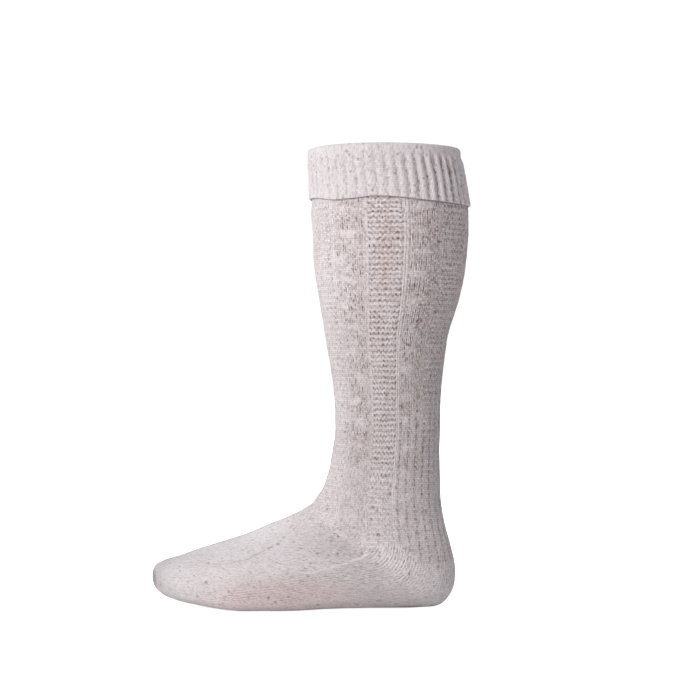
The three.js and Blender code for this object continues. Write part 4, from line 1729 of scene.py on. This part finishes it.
    def outer(self, across: np.ndarray, down: np.ndarray) -> tuple[np.ndarray, Relief]:
        """Give the cuff's points all round its thickness, with their stitches.

        Args:
            across: The share round the leg.
            down: From 0 on the fold's inner edge round to it again at 1.

        Returns:
            The points in millimetres, and the relief.
        """
        share, down = across, down % 1.0
        hem = self.hem(share)
        out, z, length = self.profile(down, hem)
        height, painted_shade = self.ribbing(share, length)
        shown = smooth(length, self.rib_from, self.rib_full) * (down < self.hem_end)
        out = out + height * shown * (0.35 + 0.65 * smooth(z - hem, -0.2, 2.4))
        wales, wale = self.ribs * self.cover_wales, share * self.ribs * self.cover_wales
        own = self.work.loops.stitch(np.floor(wale) % wales, np.floor(length / self.course))
        uneven = self.stitch_rise * (own - 0.5) + self.ripple * self.work.waves.drift(share * 17, z / 14, 17)
        out = out + uneven * (down < self.hem_start)
        reach = self.skin.level(z + self.skin.sizes.wall)
        base = self.skin.read(self.skin.points, reach, share)
        after, before = (self.skin.read(self.skin.points, reach, share + step) for step in (0.002, -0.002))
        around = after - before
        level = np.stack([around[..., 1], -around[..., 0], np.zeros_like(z)], axis=-1)
        points = base + unit(level) * out[..., None]
        points[..., 2] = z
        return points, Relief(
            height=height,
            painted_shade=painted_shade * shown * self.groove_shade,
            purl=0.25 * smooth(painted_shade, 0.3, 0.9) * shown,
            felt=np.full_like(painted_shade, self.felt),
            wale=wale,
            course=length / self.course,
        )

    def make(self) -> Object:
        """Build the cuff from one grid that closes on itself both ways."""
        return self.finished(self.grid(self.columns, self.rows, self.outer, False))


@dataclass
class Studio:
    """The camera, the pale floor and the soft light from the left."""

    camera_place: tuple[float, float, float] = (-0.0303, -1.5, 0.2078)
    lens: float = 94.06
    sensor: float = 36.0
    view_depth: float = 50.0
    key_place: tuple[float, float, float] = (-1.45, -1.5, 1.2)
    key_aim: tuple[float, float, float] = (0.0, 0.0, 0.18)
    key_size: float = 0.9
    key_power: float = 41.0
    white: str = "#ffffff"
    sky_tint: str = "#f4f4fa"
    sky_from: tuple[float, float, float] = (-0.7, -0.4, 0.55)
    sky_span: tuple[float, float] = (-0.9, 0.95)
    sky_bright: float = 0.75
    sky_dark: float = 0.42
    backdrop_span: tuple[float, float] = (0.1, 0.9)
    backdrop_glow: float = 0.36
    backdrop_seen: float = 1.05
    floor_size: float = 14.0
    floor_height: float = -0.0026
    floor_colour: str = "#fbfbfb"
    floor_light: str = "#fafafa"
    floor_seen: float = 0.95
    # real paper grain is about 0.1 mm, too fine to show, so it is drawn at 2.5 mm
    grain_size: float = 2.5 * MM
    grain_depth: float = 0.2 * MM
    grain_strength: float = 0.05

    def build(self) -> None:
        """Set up the camera, the light, the backdrop and the floor."""
        self.camera()
        self.key_light()
        self.backdrop()
        self.floor()
        bpy.context.scene.view_settings.view_transform = "Standard"
        log.info("studio: camera, key light, backdrop and floor")

    def camera(self) -> None:
        """Look level at the little-toe side of the sock, as the photograph does."""
        bpy.ops.object.select_all(action="DESELECT")
        bpy.ops.object.camera_add(location=self.camera_place, rotation=(math.pi / 2, 0, 0))
        camera = bpy.context.object
        camera.data.lens = self.lens
        camera.data.sensor_width = self.sensor
        camera.data.sensor_fit = "AUTO"
        camera.data.clip_end = self.view_depth
        bpy.context.scene.camera = camera

    def key_light(self) -> None:
        """Hang one large soft lamp above and in front of the toe."""
        bpy.ops.object.light_add(type="AREA", location=self.key_place)
        lamp = bpy.context.object
        lamp.data.size = self.key_size
        lamp.data.energy = self.key_power
        direction = np.array(self.key_aim) - np.array(self.key_place)
        flat = math.hypot(direction[0], direction[1])
        lamp.rotation_euler = (math.atan2(flat, -direction[2]), 0, math.atan2(-direction[0], direction[1]))

    def backdrop(self) -> None:
        """Light the sock from a sky that is bright on the left and dim on the right, and show it as white."""
        world = bpy.data.worlds.new("pale studio")
        bpy.context.scene.world = world
        world.use_nodes = True
        tree = world.node_tree
        tree.nodes.clear()
        direction = add(tree, "ShaderNodeTexCoord").outputs["Generated"]
        length = math.hypot(*self.sky_from)
        towards = tuple(c / length for c in self.sky_from)
        side = add(tree, VECTORS, Sum.DOT, direction, towards).outputs["Value"]
        level = add(tree, RAMP, S_CURVE, side, *self.sky_span, self.sky_dark, self.sky_bright)
        away = add(tree, "ShaderNodeSeparateXYZ", None, direction).outputs["Y"]
        behind = add(tree, RAMP, S_CURVE, away, *self.backdrop_span, 0.0, self.backdrop_glow)
        light = add(tree, MATHS, Sum.PLUS, level, behind)
        soft = add(tree, "ShaderNodeBackground", None, linear(self.sky_tint), light)
        white = add(tree, "ShaderNodeBackground", None, linear(self.white), self.backdrop_seen)
        seen = add(tree, "ShaderNodeLightPath").outputs["Is Camera Ray"]
        mixed = add(tree, "ShaderNodeMixShader", None, seen, soft, white)
        add(tree, "ShaderNodeOutputWorld", Surface=mixed)

    def floor(self) -> None:
        """Lay a pale, slightly glowing floor, as a lit paper sweep looks."""
        bpy.ops.object.select_all(action="DESELECT")
        bpy.ops.mesh.primitive_plane_add(size=self.floor_size, location=(0, 0, self.floor_height))
        floor = bpy.context.object
        floor.name = "floor"
        # uncoated paper, rolled smooth: matt and even, with hardly any grain
        paper = bpy.data.materials.new("matt white paper sweep")
        paper.use_nodes = True
        tree = paper.node_tree
        tree.nodes.clear()
        place = add(tree, "ShaderNodeTexCoord").outputs["Object"]
        grain = add(tree, NOISE, Vector=place, Scale=1 / self.grain_size).outputs["Fac"]
        bump = add(
            tree, "ShaderNodeBump", Strength=self.grain_strength, Distance=self.grain_depth, Height=grain
        )
        papers = [
            add(
                tree,
                "ShaderNodeBsdfPrincipled",
                Base_Color=linear(colour),
                Roughness=0.9,
                Normal=bump,
                Emission_Color=linear(self.white),
                Emission_Strength=glow,
            )
            for colour, glow in ((self.floor_light, 0.0), (self.floor_colour, self.floor_seen))
        ]
        seen = add(tree, "ShaderNodeLightPath").outputs["Is Camera Ray"]
        mixed = add(tree, "ShaderNodeMixShader", None, seen, *papers)
        add(tree, "ShaderNodeOutputMaterial", Surface=mixed)
        floor.data.materials.append(paper)


def main() -> None:
    """Build the studio and the sock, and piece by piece."""
    logging.basicConfig(level=logging.INFO, format="%(name)s: %(message)s")
    Studio().build()
    skin = SockSkin(SockSizes())
    work = Stitchwork(skin)
    # washed-in pink along the sole, a darker grey patch at the tip of the toe, and a warm patch on the calf's
    # side
    pink = Stain((-0.085, -0.04, 0.008), (0.085, 0.09, 0.028), "#f3dad4", 0.5)
    toe_tip_grey = Stain((-0.1935, 0.01, 0.0195), (0.0075, 0.04, 0.012), "#6f6a6c", 0.6)
    warm = Stain((0.0, -0.056, 0.288), (0.012, 0.03, 0.055), "#efd8ce", 0.3)
    # ribbed and folded double: the palest and fullest face, with little painted shade between its loops
    ribbed = MarledYarn(
        "ribbed marled wool knit",
        pale="#eae3e4",
        shade="#d3c8c9",
        nep="#7a6760",
        fleck_share=0.03,
        speckle_depth=0.32,
        gap_shade_depth=0.45,
    )
    # knitted open on a light ground: gaps and holes painted with dark, warm shade between pale raised threads
    patterned = MarledYarn("patterned marled wool knit", gap_shade_depth=0.8, stains=(pink, warm))
    # plain stocking stitch, worn and felted: a close, even face with soft grooves
    plain = MarledYarn("plain marled wool knit", stains=(pink, toe_tip_grey))
    groove = (work.first_wale + work.garter.wales + work.rib_wales + work.groove_off) / work.wales
    for number, name in enumerate(("leg_shin", "leg_calf", "leg_inside")):
        sides = {"first": groove + (number - 1) / 3, "second": groove + number / 3}
        LegPanel(name, "leg", Slot.PATTERNED, patterned, skin, work, 180, 486, **sides).make()
    FootPanel("instep_upper", "instep", Slot.PATTERNED, patterned, skin, work, 300, 180).make()
    FootPanel("heel_cup", "heel", Slot.PLAIN, plain, skin, work, 240, 120, last_row=8, upper=False).make()
    FootPanel("sole_panel", "sole", Slot.PLAIN, plain, skin, work, 240, 150, first_row=8, upper=False).make()
    ToeCap("toe_cap", "toe", Slot.PLAIN, plain, skin, work, 396, 48).make()
    Cuff("turned_cuff", "cuff", Slot.RIBBED, ribbed, skin, work, 552, 76).make()


if __name__ == "__main__":
    main()
